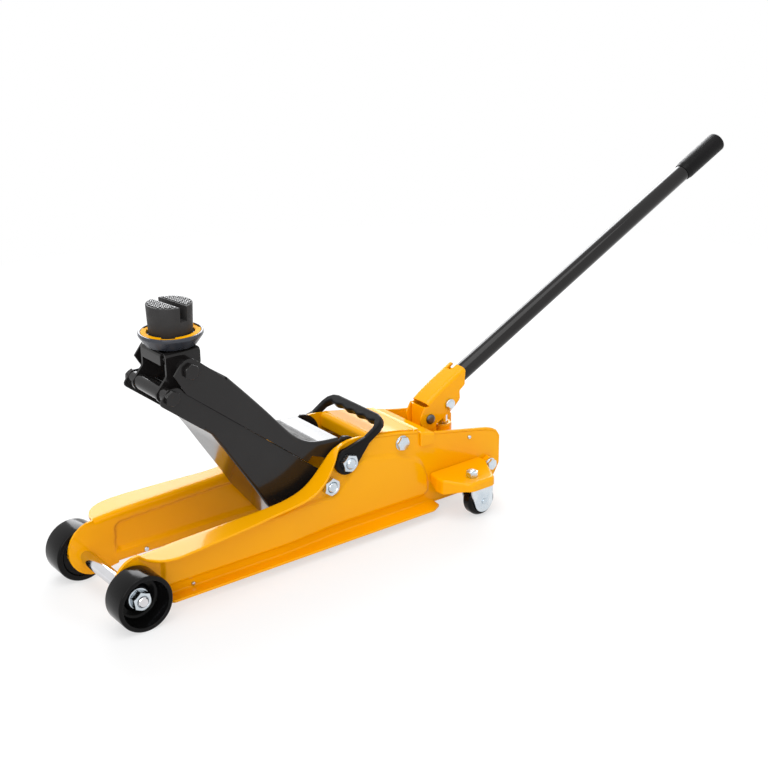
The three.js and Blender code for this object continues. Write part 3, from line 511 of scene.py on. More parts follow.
def channel_faces(points, webbed, half, fold):
    """The outer face of a channel along Y: two cheeks, and a web over the marked edges of their outline."""
    rows = []
    for k, spot in enumerate(points):
        side = [(spot, half)]
        if webbed[k] or webbed[k - 1]:
            way = inward(points, k, webbed)
            side = [(spot + way * deep, half - down) for deep, down in fold_arc(fold)]
        rows.append([(p.x, -y, p.y) for p, y in side] + [(p.x, y, p.y) for p, y in reversed(side)])
    vertices, rows = numbered(rows)
    cheeks = [[row[0] for row in rows], [row[-1] for row in reversed(rows)]]
    return vertices, cheeks + web_faces(rows, webbed)


def relieved(points, has_web, fold):
    """Marks the edges that carry a web, and makes room for the fold where a free edge runs into one."""
    count = len(points)
    spans = [(points[k], points[(k + 1) % count]) for k in range(count)]
    webbed = [(end - start).length > WEB_LEAST and has_web(start, end) for start, end in spans]
    ends = [points[k] for k in range(count) if webbed[k] != webbed[k - 1]]
    made, marks = [], []
    for k, (spot, following) in enumerate(spans):
        free = not webbed[k] and not webbed[k - 1]
        if free and any((spot - end).length < FREE_ROOM * fold for end in ends):
            continue
        made.append(spot)
        marks.append(webbed[k])
        length = (following - spot).length
        if webbed[k] or length < 2.5 * fold:
            continue
        for beside, near, far in ((k - 1, spot, following), ((k + 1) % count, following, spot)):
            if webbed[beside]:
                made.append(near.lerp(far, fold / length))
                marks.append(False)
    return made, marks


def sheeted(vertices, faces, sheet):
    """A sheet of even thickness behind an outer face, with its edges broken."""
    mesh = bpy.data.meshes.new("sheet")
    mesh.from_pydata([Vector(v) * MM for v in vertices], [], faces)
    mesh.validate()
    made = mesh_object("sheet", mesh)
    modified(made, "SOLIDIFY", thickness=sheet * MM, offset=-1, use_even_offset=True)
    return freed(edged(made, SHEET_EDGE, 2, 55))


def folded(cad_name, *meshes):
    """Bent sheets as the piece that stands for a CAD node, with their wide faces flat up to the folds."""
    made = mesh_object(f"folded_{cad_name}", joined(*meshes))
    stand_for(modified(made, "WEIGHTED_NORMAL", keep_sharp=True), cad_name)


def channel(source, half, sheet=SHEET, fold=4.2):
    """A channel whose cheeks have the outline of a CAD node's cheeks, with a web where the CAD has one."""
    inside = inside_test(source)

    def has_web(start, end):
        """Whether the CAD is solid just behind an edge, but no deeper than a sheet."""
        way = across(start, end)
        near, far = (start + (end - start) / 2 + way * depth for depth in (sheet / 2 + 0.2, sheet + 1.2))
        return bool(inside((near.x, 0.6 * half, near.y)) and not inside((far.x, 0.6 * half, far.y)))

    points, webbed = relieved(outline_at(source, 1, half), has_web, fold)
    return sheeted(*channel_faces(points, webbed, half, fold), sheet)


def strip(path, half, sheet=SHEET):
    """A strip of sheet across the jack, bent along a path (x, z) that is its outer face."""
    points = fillet(path, 6)
    vertices = [(x, y, z) for x, z in points for y in (-half, half)]
    faces = [(2 * k, 2 * k + 1, 2 * k + 3, 2 * k + 2) for k in range(len(points) - 1)]
    return sheeted(vertices, faces, sheet)


def top_line(source, start, end, steps, side=0.0):
    """Points (x, z) along the upper face of a CAD node."""
    made = frame["nodes"][source]
    points = []
    for x in np.linspace(start, end, steps):
        hit, place, _, _ = made.ray_cast(Vector((x, side, 900)) * MM, Vector((0, 0, -1)))
        if hit:
            points.append((x, place.z / MM))
    return points


def tray(source, sheet=3.5, fold=4.2):
    """A flat sheet whose outer edge is folded down as far as the CAD's skirt reaches."""
    low, high = extent(source)
    points = outline_at(source, 2, high.z)
    inside = inside_test(source)
    feet = []
    for k, spot in enumerate(points):
        following = points[(k + 1) % len(points)]
        probe = spot + (following - spot) / 2 + across(spot, following) * (sheet / 2)
        level = high.z - sheet - 1
        foot = high.z
        while level > low.z - 1 and inside((probe.x, probe.y, level)):
            foot = level - 0.25
            level -= 0.5
        feet.append(max(foot, low.z) if foot < high.z - 8.25 else None)
    webbed = [foot is not None for foot in feet]
    rows = []
    for k, spot in enumerate(points):
        row = [(spot.x, spot.y, high.z)]
        if webbed[k] or webbed[k - 1]:
            way = inward(points, k, webbed)
            row = [(*(spot + way * deep), high.z - down) for deep, down in fold_arc(fold)]
            row.append((spot.x, spot.y, min(foot for foot in (feet[k], feet[k - 1]) if foot is not None)))
        rows.append(row)
    vertices, rows = numbered(rows)
    return sheeted(vertices, [[row[0] for row in rows]] + web_faces(rows, webbed), sheet)


# ---- Side plates ----
PLATE_SHEET = 3.5
PLATE_BEND = 6.0  # outer radius of the flange bends
FLANGE_LEAST = 1.2  # a flange that stands out less than this is left off
RIM = 0.7  # how far the sheet's edges are broken
NOSE = 36.0  # radius of a plate's front end
REAR_CORNER = 14.0
PANEL_STAND = 3.4  # what stands out this far beyond the sheet is the pressed panel
PANEL_ROOM = (6, 9)  # how far it stays from the foot and from the top
LEVEL_ROOM = 0.3  # how closely a point lies at the top or at the foot
SWELL = 4.0  # how far the pressed panel stands out
SWELL_BLUR = 1.4
STATION = 1.25  # step between cross sections
BEND_STEPS = 7
FLANGE_STEPS = 6
WEB_STEPS = 56
PLATE_TOP = 150  # above the top of any cross section

# The yoke's strap is folded down over both plates, which are notched for it
strap_side = outline_at("handle_yoke", 1, extent("handle_yoke")[1].y)
TAB_FRONT = min(spot.x for spot in strap_side)
TAB_REAR = max(spot.x for spot in strap_side)
TAB_FOOT = min(spot.y for spot in strap_side)
NOTCH = (TAB_FRONT - 0.4, TAB_REAR + 0.4)
NOTCH_DEPTH = 3.4


def blurred(values, spread):
    """Values smoothed by a bell curve with a spread in samples, with the ends held."""
    reach = int(3 * spread) + 1
    weights = np.exp(-0.5 * (np.arange(-reach, reach + 1) / spread) ** 2)
    padded = np.pad(values, [(reach, reach)] + [(0, 0)] * (values.ndim - 1), mode="edge")
    kernel = weights / weights.sum()
    return sum(w * padded[k:k + len(values)] for k, w in enumerate(kernel))


def arc_points(centre, radius, start, end):
    """Points on an arc between two angles in degrees."""
    return [(centre[0] + radius * math.cos(a), centre[1] + radius * math.sin(a))
            for a in np.radians(np.linspace(start, end, BEND_STEPS))]


def plate_stations(cad_name):
    """Cross sections of a CAD side plate at steps along X.

    Each is the inner face, the top, the foot, the reach of both flanges and the ends of the pressed panel.
    """
    mesh = frame["nodes"][cad_name].data
    mesh.calc_loop_triangles()
    spots = np.array([v.co for v in mesh.vertices]) / MM
    triangles = spots[np.array([t.vertices for t in mesh.loop_triangles])]
    low, high = extent(cad_name)
    front = low.x + NOSE * (1 - np.cos(np.radians(np.arange(3.0, 72.0, 3.0))))
    rear = high.x - REAR_CORNER * (1 - np.cos(np.radians(np.arange(6.0, 80.0, 6.0))))
    between = np.arange(front[-1] + STATION, min(rear) - STATION / 2, STATION)
    stations = np.array(sorted([low.x + 0.02, *front, *between, *rear, high.x - 0.02]))
    rows = []
    for x in stations:
        near = triangles[:, :, 0] - x
        crossing = (near.min(axis=1) < 0) & (near.max(axis=1) > 0)
        found = []
        for a, b in ((0, 1), (1, 2), (2, 0)):
            start, end = triangles[crossing, a], triangles[crossing, b]
            split = (start[:, 0] - x) * (end[:, 0] - x) < 0
            start, way = start[split], (end - start)[split]
            found.append(start + (x - start[:, :1]) / way[:, :1] * way)
        side, height = np.abs(np.concatenate(found)[:, 1:]).T
        top, foot, inner = height.max(), height.min(), side.min()
        stands = side > inner + PLATE_SHEET + PANEL_STAND
        panel = height[stands & (height > foot + PANEL_ROOM[0]) & (height < top - PANEL_ROOM[1])]
        ends = (panel.min(), panel.max()) if len(panel) else (0, 0)
        reaches = side[height > top - LEVEL_ROOM].max(), side[height < foot + LEVEL_ROOM].max()
        rows.append((inner, top, foot, *reaches, *ends))
    return stations, np.array(rows).T


def plate_mesh(cad_name, side):
    """A pressed side plate: its cross sections drawn again with rounded bends, and joined along X."""
    stations, (inner, top, foot, top_reach, foot_reach, *panel_ends) = plate_stations(cad_name)
    front_end, rear_end = extent(cad_name)[0].x, stations[-1]
    along = np.arange(stations[0], rear_end, 1.0)

    def eased(values, spread, begin, end):
        """Smooths the values between two places, and keeps them outside."""
        even = np.interp(along, stations, values)
        share = np.clip((along - begin) / 10, 0, 1) * np.clip((end - along) / 10, 0, 1)
        return np.interp(stations, along, even * (1 - share) + blurred(even, spread) * share)

    notched = (stations > NOTCH[0]) & (stations < NOTCH[1])
    beside = (stations < NOTCH[0] - 2) | (stations > NOTCH[1] + 2)
    bridged = np.interp(stations, stations[beside], top[beside])
    smooth_top = eased(bridged, 6, front_end + NOSE, rear_end - 24)
    top = np.where(notched, smooth_top - NOTCH_DEPTH, smooth_top)
    inner = eased(inner, 6, front_end + 60, rear_end - 60)
    top_reach = eased(top_reach, 4, front_end + NOSE, rear_end - 60)
    slope = np.clip(np.gradient(smooth_top, stations), -1.5, 1.5)
    thick_top = PLATE_SHEET * np.sqrt(1 + slope ** 2)

    heights = np.arange(0, PLATE_TOP, 1.0)
    panel_low, panel_high = (np.interp(along, stations, ends)[:, None] for ends in panel_ends)
    mask = ((heights > panel_low) & (heights < panel_high)).astype(float)
    pressed = blurred(blurred(mask, SWELL_BLUR).T, SWELL_BLUR).T

    def section(k):
        """The closed outline of the sheet at a step, as points (y, z)."""
        least = inner[k] + PLATE_SHEET
        reach_t, reach_f = (reach if reach >= least + FLANGE_LEAST else least
                            for reach in (top_reach[k], foot_reach[k]))
        bends = [min(reach - least, PLATE_BEND) for reach in (reach_t, reach_f)]
        room = (top[k] - foot[k]) / 2 - 0.1
        place = np.interp(stations[k], along, np.arange(len(along)))
        here, share = int(place), place % 1
        row = pressed[here] * (1 - share) + pressed[min(here + 1, len(along) - 1)] * share

        def face_line(depth, thick):
            """One face of the sheet, from the upper free edge round the web to the lower one."""
            corner_t, corner_f = (min(max(bend, depth), room) if depth else bend for bend in bends)
            centre_t = (inner[k] + corner_t, top[k] - thick + depth - corner_t)
            centre_f = (inner[k] + corner_f, foot[k] + corner_f)
            top_flange = np.linspace(reach_t - RIM, inner[k] + max(corner_t, depth), FLANGE_STEPS)
            web = np.linspace(centre_t[1], centre_f[1], WEB_STEPS)[1:-1]
            foot_flange = np.linspace(inner[k] + max(corner_f, depth), reach_f - RIM, FLANGE_STEPS)[1:]
            return [*((y, top[k] - thick) for y in top_flange),
                    *arc_points(centre_t, max(corner_t - depth, 0), 90, 180)[1:],
                    *((inner[k] + depth + SWELL * np.interp(z, heights, row), z) for z in web),
                    *arc_points(centre_f, max(corner_f - depth, 0), 180, 270),
                    *((y, foot[k] + depth) for y in foot_flange)]

        foot_rim = [(reach_f, foot[k] + RIM), (reach_f, foot[k] + PLATE_SHEET - RIM)]
        top_rim = [(reach_t, top[k] - thick_top[k] + RIM), (reach_t, top[k] - RIM)]
        return face_line(0, 0) + foot_rim + face_line(PLATE_SHEET, thick_top[k])[::-1] + top_rim

    loops = [section(k) for k in range(len(stations))]
    count = len(loops[0])
    vertices = [(x, side * y, z) for x, loop in zip(stations, loops) for y, z in loop]
    faces = band_faces(count, len(loops), closed=False)
    for ring in (0, len(loops) - 1):
        for i in range(count // 2 - 2):
            corners = (i, i + 1, (count - 4 - i) % count, (count - 3 - i) % count)
            faces.append([ring * count + corner for corner in corners])
    return solid_mesh(vertices, faces)


for side_name, side in SIDES.items():
    cad_name = f"side_plate_{side_name}"
    stand_for(mesh_object(f"pressed_{cad_name}", plate_mesh(cad_name, side), 40), cad_name)


# ---- Front wheels and their washers ----
WHEEL_BORE, WHEEL_HUB = 7.3, 14.0  # radii
WHEEL_TREAD = 6.0  # thickness
WHEEL_DISH = 24.0  # depth
WASHER_BORE, WASHER_RADIUS = 7.4, 13.4


def wheel_mesh(cad_name, axis):
    """A dished wheel with its dish outwards, a hub and a low rib round its back."""
    origin, width = span_of(cad_name, axis)
    radius = radius_of(cad_name, 2)
    bore, hub, deep = WHEEL_BORE, WHEEL_HUB, width - WHEEL_DISH
    profile = fillet([
        (bore, 0), (hub, 0), (hub + 1, 0.5), (radius - 9, 0.5), (radius - 8, 1.6), (radius - 7, 0.5),
        (radius, 0.5, 2.4), (radius, width, 2.2), (radius - WHEEL_TREAD + 0.4, width, 1.2),
        (radius - WHEEL_TREAD - 2, deep, 4.5), (hub + 3, deep, 1.5), (hub + 2.2, deep + 1.6, 1.0),
        (hub, deep + 3, 0.6), (bore + 0.6, deep + 3), (bore, deep + 2.4),
    ])
    return lathe(profile, origin, axis, 128)


def washer_mesh(cad_name, axis):
    origin, thick = span_of(cad_name, axis)
    profile = fillet([(WASHER_BORE, 0), (WASHER_RADIUS, 0, 0.4), (WASHER_RADIUS, thick, 0.8),
                      (WASHER_BORE, thick, 0.4)], 3)
    return lathe(profile, origin, axis)


for side_name, side in SIDES.items():
    for cad_name, made_by in (("front_wheel", wheel_mesh), ("axle_washer", washer_mesh)):
        turned(f"{cad_name}_{side_name}", made_by(f"{cad_name}_{side_name}", (0, side, 0)))


# ---- Nuts, bars, bolts and screws ----
def nut(cad_name, axis, flats, bore, spin):
    """A hexagon nut where the CAD has one."""
    origin, height = span_of(cad_name, axis)
    turned(cad_name, hexagon_mesh(flats, bore, height, origin, axis, spin), 30)


def bolt(cad_name, axis, flats, head, radius, spin, washer):
    """A hexagon bolt whose head, on a washer face, is at the outer end of the CAD bolt."""
    tip, length = span_of(cad_name, axis)
    way = Vector(axis)
    neck = length - head + 0.5
    shank = [(0, 0), (radius - 0.8, 0), (radius, 0.8), (radius, neck), (0, neck)]
    wide = flats * 0.6
    under = fillet([(0, 0), (wide, 0), (wide, washer, 0.3), (0, washer)], 3)
    turned(cad_name, joined(
        lathe(shank, tip, axis, 48),
        hexagon_mesh(flats, 0, head - washer, tip + way * (length - head + washer), axis, spin),
        lathe(under, tip + way * (length - head), axis),
    ), 30)


def plate_screw(cad_name, axis):
    """A small pan-head screw with its threaded end inside the plate."""
    origin, length = span_of(cad_name, axis)
    head = length - 2.6
    profile = [(0, 0), (2.4, 0), (3, 0.5), (3, 2.4), (1.8, 2.7),
               *thread_profile(1.8, 2.9, head - 0.3, 0.8, 0.3), (1.8, head), (2.8, head),
               (2.75, length - 1.4), (2.2, length - 0.4), (1.2, length), (0.5, length), (0.4, length - 1.0),
               (0, length - 1.0)]
    turned(cad_name, lathe(profile, origin, axis, 40))


def cross_bar(cad_name, half, turns=ROUND_STEPS, sharp=30.0):
    """A round bar along Y, the same at both ends, from a half profile (radius, height)."""
    centre = middle(cad_name)
    profile = [(radius, -height) for radius, height in reversed(half)] + half
    turned(cad_name, lathe(profile, (centre.x, 0, centre.z), (0, 1, 0), turns), sharp)


def threaded_end(cad_name, thread):
    """The half profile of a bar's threaded end, with a chamfered tip."""
    reach = extent(cad_name)[1].y
    start = reach - thread
    return [(BAR_END, start), *thread_profile(BAR_END, start, reach - 1), (5.4, reach), (0, reach)]


BAR, BAR_END = 9.0, 7.0  # radii of a bar and of its turned-down ends
for side_name, side in SIDES.items():
    for cad_name, spin in (("axle_nut", 8), ("link_pivot_nut", 14), ("arm_pivot_nut", -6)):
        nut(f"{cad_name}_{side_name}", (0, side, 0), flats=21, bore=7.1, spin=spin)
    nut(f"kingpin_nut_{side_name}", (0, 0, 1), flats=15, bore=5.1, spin=10)
for cad_name, shoulder, thread in (("front_axle", extent("side_plate_right")[0].y - 0.3, 14),
                                   ("link_pivot_shaft", extent("parallel_link")[1].y - 3.3, 11)):
    cross_bar(cad_name, [(BAR, 0), (BAR, shoulder - 0.5), (BAR - 0.5, shoulder), (BAR_END, shoulder),
                         *threaded_end(cad_name, thread)])
cross_bar("arm_pivot_bolt", [(BAR_END, 0), *threaded_end("arm_pivot_bolt", 11)])
for side_name, side in SIDES.items():
    bolt(f"mount_bolt_{side_name}", (0, side, 0), flats=17, head=5.5, radius=5, spin=20, washer=1.0)
    bolt(f"rear_bolt_{side_name}", (0, side, 0), flats=14, head=5.7, radius=4, spin=5, washer=1.4)
for side_name, side in SIDES.items():
    for cad_name in ("front_screw", "rear_screw"):
        plate_screw(f"{cad_name}_{side_name}", (0, side, 0))


# ---- Pieces that keep their CAD shape, with edges and folds worked ----
for side_name in SIDES:
    softened(f"caster_fork_{side_name}", fold=3.6)
for cad_name, edge in (("ram_cylinder", 1.2), ("pump_block", 2.2), ("ram", 1.0), ("release_valve", 0.3),
                       ("filler_plug", 0.5), ("pump_plunger", 0.4), ("rear_cross_rod", 0.5)):
    softened(cad_name, edge)
softened("carry_handle", 2.6, segments=5)
for cad_name in ("lower_head_bolt", "upper_head_bolt"):
    softened(cad_name)


# ---- Bent sheet pieces ----
def bar(place, radius, half):
    """A round bar along Y through a point (x, z)."""
    profile = fillet([(0, -half), (radius, -half, 0.5), (radius, half, 0.5), (0, half)], 2)
    return lathe(profile, (place[0], 0, place[1]), (0, 1, 0), 48)


ARM_HALF = 45.0  # over the lifting arm's cheeks
HUB_RADIUS, SPACER_RADIUS, PUSH_PIN_RADIUS = 12, 9, 6
PUSH_PIN_DROP = 49.9  # from the arm's pivot
PUSH_PIN_FALL = math.radians(50.45)


def arm_meshes():
    pivot = joint_place("lift_arm")
    push_pin = (pivot[0] - PUSH_PIN_DROP * math.cos(PUSH_PIN_FALL),
                pivot[1] - PUSH_PIN_DROP * math.sin(PUSH_PIN_FALL))
    return (channel("lift_arm", ARM_HALF), bar(pivot, HUB_RADIUS, ARM_HALF - 2),
            bar(pivot, SPACER_RADIUS, extent("lift_arm")[1].y), bar(push_pin, PUSH_PIN_RADIUS, ARM_HALF - 2))


BRACKET_SHEET = 3.5
BRACKET_LIP = (22, 15)  # half its width, and its drop
BRACKET_TUBE = 9.5


def bracket_meshes():
    """The saddle's bracket: a channel, a lip folded down in front, and the tube of the head's pivot."""
    high = extent("saddle_bracket")[1]
    cheek = outline_at("saddle_bracket", 1, high.y)
    front = min(spot.x for spot in cheek if spot.y > high.z - 10)
    lip = [(front + 6, high.z), (front - 3, high.z, 4.2), (front - 3, high.z - BRACKET_LIP[1])]
    return (channel("saddle_bracket", high.y, BRACKET_SHEET, 5.0), strip(lip, BRACKET_LIP[0], BRACKET_SHEET),
            bar(joint_place("head"), BRACKET_TUBE, high.y - 3))


HANDLE_AXIS = Vector(joint_of["handle"]["axis"])
HANDLE_MOUTH = Vector(joint_of["handle"]["pos_m"]) / MM
SLEEVE_BORE, SLEEVE_RADIUS = 12.3, 14.6
SLEEVE_ENDS = (-34, -4)  # along the handle, from the socket's mouth
MOUTH_NOTCH = ((-9, -1, 5), (6, 8, 25))  # a box along the handle, from the socket's mouth


def socket_meshes():
    """The handle's socket: a channel with a notch in its mouth, and the sleeve that holds the tube."""
    along_tube = Matrix.Translation(HANDLE_MOUTH) @ Matrix.Rotation(-math.asin(HANDLE_AXIS.z), 4, "Y")
    sheet = channel("handle_socket", extent("handle_socket")[1].y, fold=6.0)
    start, end = SLEEVE_ENDS
    sleeve = [(SLEEVE_BORE, start), (SLEEVE_RADIUS, start), (SLEEVE_RADIUS, end), (SLEEVE_BORE, end)]
    return (cut_with(sheet, box_mesh(*MOUTH_NOTCH, along_tube)),
            lathe(sleeve, HANDLE_MOUTH, HANDLE_AXIS, 64))


YOKE_HALF = 13.7  # over the ears
YOKE_BASE_HALF = 49.7
TAB_SEAM = 0.6  # a dark line between the strap and the notch in the plates
TAB_ROUND = 3.0
CROWN_SIDE = 40.0  # beside the ears, where the strap's top is bare


def strap_mesh():
    """The strap over both plates, drawn at steps along X, with its free corners rounded."""
    half = extent("handle_yoke")[1].y
    front = TAB_FRONT + TAB_SEAM
    wide = TAB_REAR - TAB_SEAM - front
    rows, faces = [], []
    for along in (0.0, 0.8, 2.0, TAB_ROUND, 8, 12.5, 17, wide - TAB_ROUND, wide - 2.0, wide - 0.8, wide):
        beyond = max(0.0, TAB_ROUND - min(along, wide - along))
        foot = TAB_FOOT + TAB_SEAM + TAB_ROUND - math.sqrt(TAB_ROUND ** 2 - beyond ** 2)
        probe = front + min(max(along, 0.3), wide - 0.3)
        crown = top_line("handle_yoke", probe, probe, 1, CROWN_SIDE)[0][1]
        path = fillet([(-half, foot), (-half, crown, 4.2), (half, crown, 4.2), (half, foot)], 6)
        rows.append([(front + along, y, z) for y, z in path])
    vertices, rows = numbered(rows)
    for here, following in zip(rows, rows[1:]):
        faces += [(here[k], following[k], following[k + 1], here[k + 1]) for k in range(len(here) - 1)]
    return sheeted(vertices, faces, SHEET)


def yoke_meshes():
    """The handle's yoke: the channel of the ears, the strap over the plates and the sheet in front of it."""
    base = top_line("handle_yoke", extent("handle_yoke")[0].x + 0.05, TAB_FRONT + TAB_SEAM + 1, 3)
    return channel("handle_yoke", YOKE_HALF, fold=3.4), strap_mesh(), strip(base, YOKE_BASE_HALF)


def cover_mesh():
    """The cover: its CAD top line, bent down at the front."""
    low, high = extent("top_cover")
    line = top_line("top_cover", low.x + 3, high.x - 0.05, 24)
    slope = (line[3][1] - line[0][1]) / (line[3][0] - line[0][0])
    return strip([(low.x, low.z), (low.x, line[0][1] - 3 * slope, 4.0), *line[1:]], high.y)


folded("lift_arm", *arm_meshes())
folded("parallel_link", channel("parallel_link", extent("parallel_link")[1].y))
folded("saddle_bracket", *bracket_meshes())
folded("handle_socket", *socket_meshes())
folded("handle_yoke", *yoke_meshes())
folded("top_cover", cover_mesh())
for side_name in SIDES:
    folded(f"caster_bracket_{side_name}", tray(f"caster_bracket_{side_name}"))


# ---- Saddle ----
SADDLE_HUB = 9.0  # its radius and its height
SADDLE_WALL = 2.9
SADDLE_DISH = 4.9  # depth
PAD_FOOT = 26.0  # radius
PAD_SLOT = (10.0, 18.0, 8.0)  # width, depth and turn in degrees
KNURL = 3.4  # pitch of the pyramids
KNURL_HEIGHT = 0.9
KNURL_TIP = 0.55  # how wide a pyramid's flat tip is, for a foot of 1


def saddle_mesh():
    """The saddle: a flared dish on a hub, with a flat floor for the ring and the pad."""
    origin, rim = span_of("saddle", (0, 0, 1))
    radius = radius_of("saddle", 0)
    hub, wall, deep = SADDLE_HUB, SADDLE_WALL, rim - SADDLE_DISH
    profile = fillet([
        (0, 0), (hub, 0, 0.8), (hub, hub, 0.5), (28, hub), (30.5, hub + 1.5, 1.5), (radius - 1, hub + 11.5),
        (radius, hub + 13.5, 1.2), (radius, rim, 1.1), (radius - wall, rim, 0.9), (radius - wall, deep, 0.6),
        (0, deep),
    ])
    return lathe(profile, origin, (0, 0, 1), 128)


def knurl_mesh(centre, radius):
    """Rows of small blunt pyramids beside the pad's slot, with their flat tips in a lighter grey as a
    painted highlight.
    """
    width, _, degrees = PAD_SLOT
    turn = Matrix.Rotation(math.radians(degrees), 2)
    steps = int(radius / KNURL) + 1
    half = KNURL * 0.46
    vertices, faces = [], []
    for i in range(-steps, steps + 1):
        for j in range(-steps, steps + 1):
            x, y = (i + 0.5) * KNURL, (j + 0.5) * KNURL
            clear = abs(x) > width / 2 + KNURL / 2 + 0.5
            if not clear or math.hypot(x, y) > radius - 1.1 - KNURL * 0.6:
                continue
            start = len(vertices)
            for reach, rise in ((half, -0.15), (half * KNURL_TIP, KNURL_HEIGHT)):
                for dx, dy in ((-reach, -reach), (reach, -reach), (reach, reach), (-reach, reach)):
                    vertices.append(centre + Vector((*(turn @ Vector((x + dx, y + dy))), rise)))
            pyramid = [(3, 2, 1, 0), (4, 5, 6, 7), (0, 1, 5, 4), (1, 2, 6, 5), (2, 3, 7, 6), (3, 0, 4, 7)]
            faces += [[start + k for k in face] for face in pyramid]
    knurl = solid_mesh(vertices, faces)
    # The flat tips take the second finish, a painted highlight.
    for face in knurl.polygons:
        face.material_index = int(face.center.z > (centre.z + KNURL_HEIGHT * 0.9) * MM)
    return knurl


def pad_mesh():
    """The rubber pad: a tapered round body with a slot and rows of small pyramids on top."""
    origin, height = span_of("saddle_pad", (0, 0, 1))
    radius = radius_of("saddle_pad", 0)
    profile = fillet([(0, 0), (PAD_FOOT, 0, 1), (radius, height, 1.1), (0, height)])
    width, depth, degrees = PAD_SLOT
    top = origin + Vector((0, 0, height))
    turn = Matrix.Translation(top) @ Matrix.Rotation(math.radians(degrees), 4, "Z")
    slot = box_mesh((-width / 2, -1.5 * radius, -depth), (width / 2, 1.5 * radius, depth), turn)
    body = mesh_object("pad_body", cut_with(lathe(profile, origin, (0, 0, 1), 128), slot))
    return joined(freed(edged(body, 0.8, 3, 50)), knurl_mesh(top, radius))


turned("saddle", saddle_mesh())
softened("saddle_ring", finishes=["ring_yellow"])
# The pad's second finish is the painted highlight on the pyramids' tips.
stand_for(mesh_object("knurled_pad", pad_mesh(), 30), "saddle_pad", "pad_rubber", "knurl_tip_highlight")


# ---- Handle ----
TUBE_BORE, TUBE_RADIUS = 10, 12
TUBE_INSERT = 36.0  # how much of it is in the socket
GRIP_START, GRIP_END = 494.0, 583.0  # along the handle, from the socket's mouth
TUBE_END = GRIP_END - 7  # where the grip's closed end starts
GRIP_BORE = TUBE_RADIUS + 0.15

tube_profile = fillet([
    (TUBE_BORE, -TUBE_INSERT), (TUBE_RADIUS, -TUBE_INSERT, 0.6), (TUBE_RADIUS, TUBE_END - 1, 0.6),
    (TUBE_BORE, TUBE_END - 1),
], 3)
grip_profile = fillet([
    (GRIP_BORE, GRIP_START), (12.9, GRIP_START, 0.3), (14.2, GRIP_START + 8, 3), (14.6, GRIP_END - 5.0, 4),
    (9, GRIP_END - 0.8, 3), (0, GRIP_END), (0, TUBE_END), (GRIP_BORE, TUBE_END),
])
stand_for(mesh_object("drawn_handle_tube", lathe(tube_profile, HANDLE_MOUTH, HANDLE_AXIS)), "handle_tube")
stand_for(mesh_object("moulded_handle_grip", lathe(grip_profile, HANDLE_MOUTH, HANDLE_AXIS)), "handle_grip")


def cross_pin(cad_name, radius, head_radius, head, dome):
    """A pin across the socket with a low round head at each end."""
    reach = extent(cad_name)[1].y
    under = (radius, reach - head)
    head_profile = fillet([under, (head_radius, reach - head, 0.2), (head_radius, reach - dome, 0.8),
                           (head_radius * 0.62, reach, 1.5), (0, reach)])
    cross_bar(cad_name, [(radius, 0), *head_profile], 64, 32.0)


cross_pin("socket_pin", radius=5, head_radius=7, head=3, dome=0.9)
cross_pin("socket_roller", radius=4, head_radius=7.8, head=4, dome=1.6)


# ---- Casters ----
def caster_wheel(cad_name):
    """A crowned wheel with a shallow dish on both faces."""
    half, radius = radius_of(cad_name, 1), radius_of(cad_name, 2)
    near = [(4.3, -half), (8, -half, 0.4), (8.8, 1.4 - half, 0.6), (15, 1.4 - half, 0.8), (16, -half, 0.6),
            (radius - 2.8, -half, 2), (radius, 4 - half, 4)]
    far = [(corner[0], -corner[1], *corner[2:]) for corner in reversed(near)]
    turned(cad_name, lathe(fillet(near + far), middle(cad_name), (0, 1, 0)))


def kingpin(cad_name):
    """The swivel's pin: a rivet head below, a collar under the bracket and a thread above it."""
    origin, top = span_of(cad_name, (0, 0, 1))
    profile = [
        (0, 0), (6.2, 0), (7, 0.7), (7, 2.2), (5, 2.2), (5, top - 20), (8, top - 20), (8, top - 16.4),
        (5, top - 16.4), (5, top - 10), *thread_profile(5, top - 10, top - 0.8, 1.25, 0.45), (3.6, top),
        (0, top),
    ]
    turned(cad_name, lathe(profile, origin, (0, 0, 1), 64), 30)


for side_name in SIDES:
    caster_wheel(f"caster_wheel_{side_name}")
    kingpin(f"kingpin_{side_name}")


# ---- Studio ----
FLOOR_REACH = 12.0
FLOOR_GREY = 0.86
FADE = (0.7, 1.5)  # metres from the middle, between which the floor turns plain white
WORLD_LIGHT = 0.58
AZIMUTH = math.radians(-37.58)
ELEVATION = math.radians(20.568)
ROLL = math.radians(-0.474)
LENS = 65.797
CAMERA_PLACE = (-1.167763, -1.387075, 0.834558)


def combined(nodes, links, operation, first, second):
    """A math node over two outputs."""
    made = nodes.new("ShaderNodeMath")
    made.operation = operation
    links.new(first, made.inputs[0])
    links.new(second, made.inputs[1])
    return made.outputs[0]


def shows_background(nodes, links):
    """One for camera, glossy and transmission rays, and zero for the rays that carry light."""
    rays = nodes.new("ShaderNodeLightPath").outputs
    mirrored = combined(nodes, links, "MAXIMUM", rays["Is Glossy Ray"], rays["Is Transmission Ray"])
    return combined(nodes, links, "MAXIMUM", rays["Is Camera Ray"], mirrored)


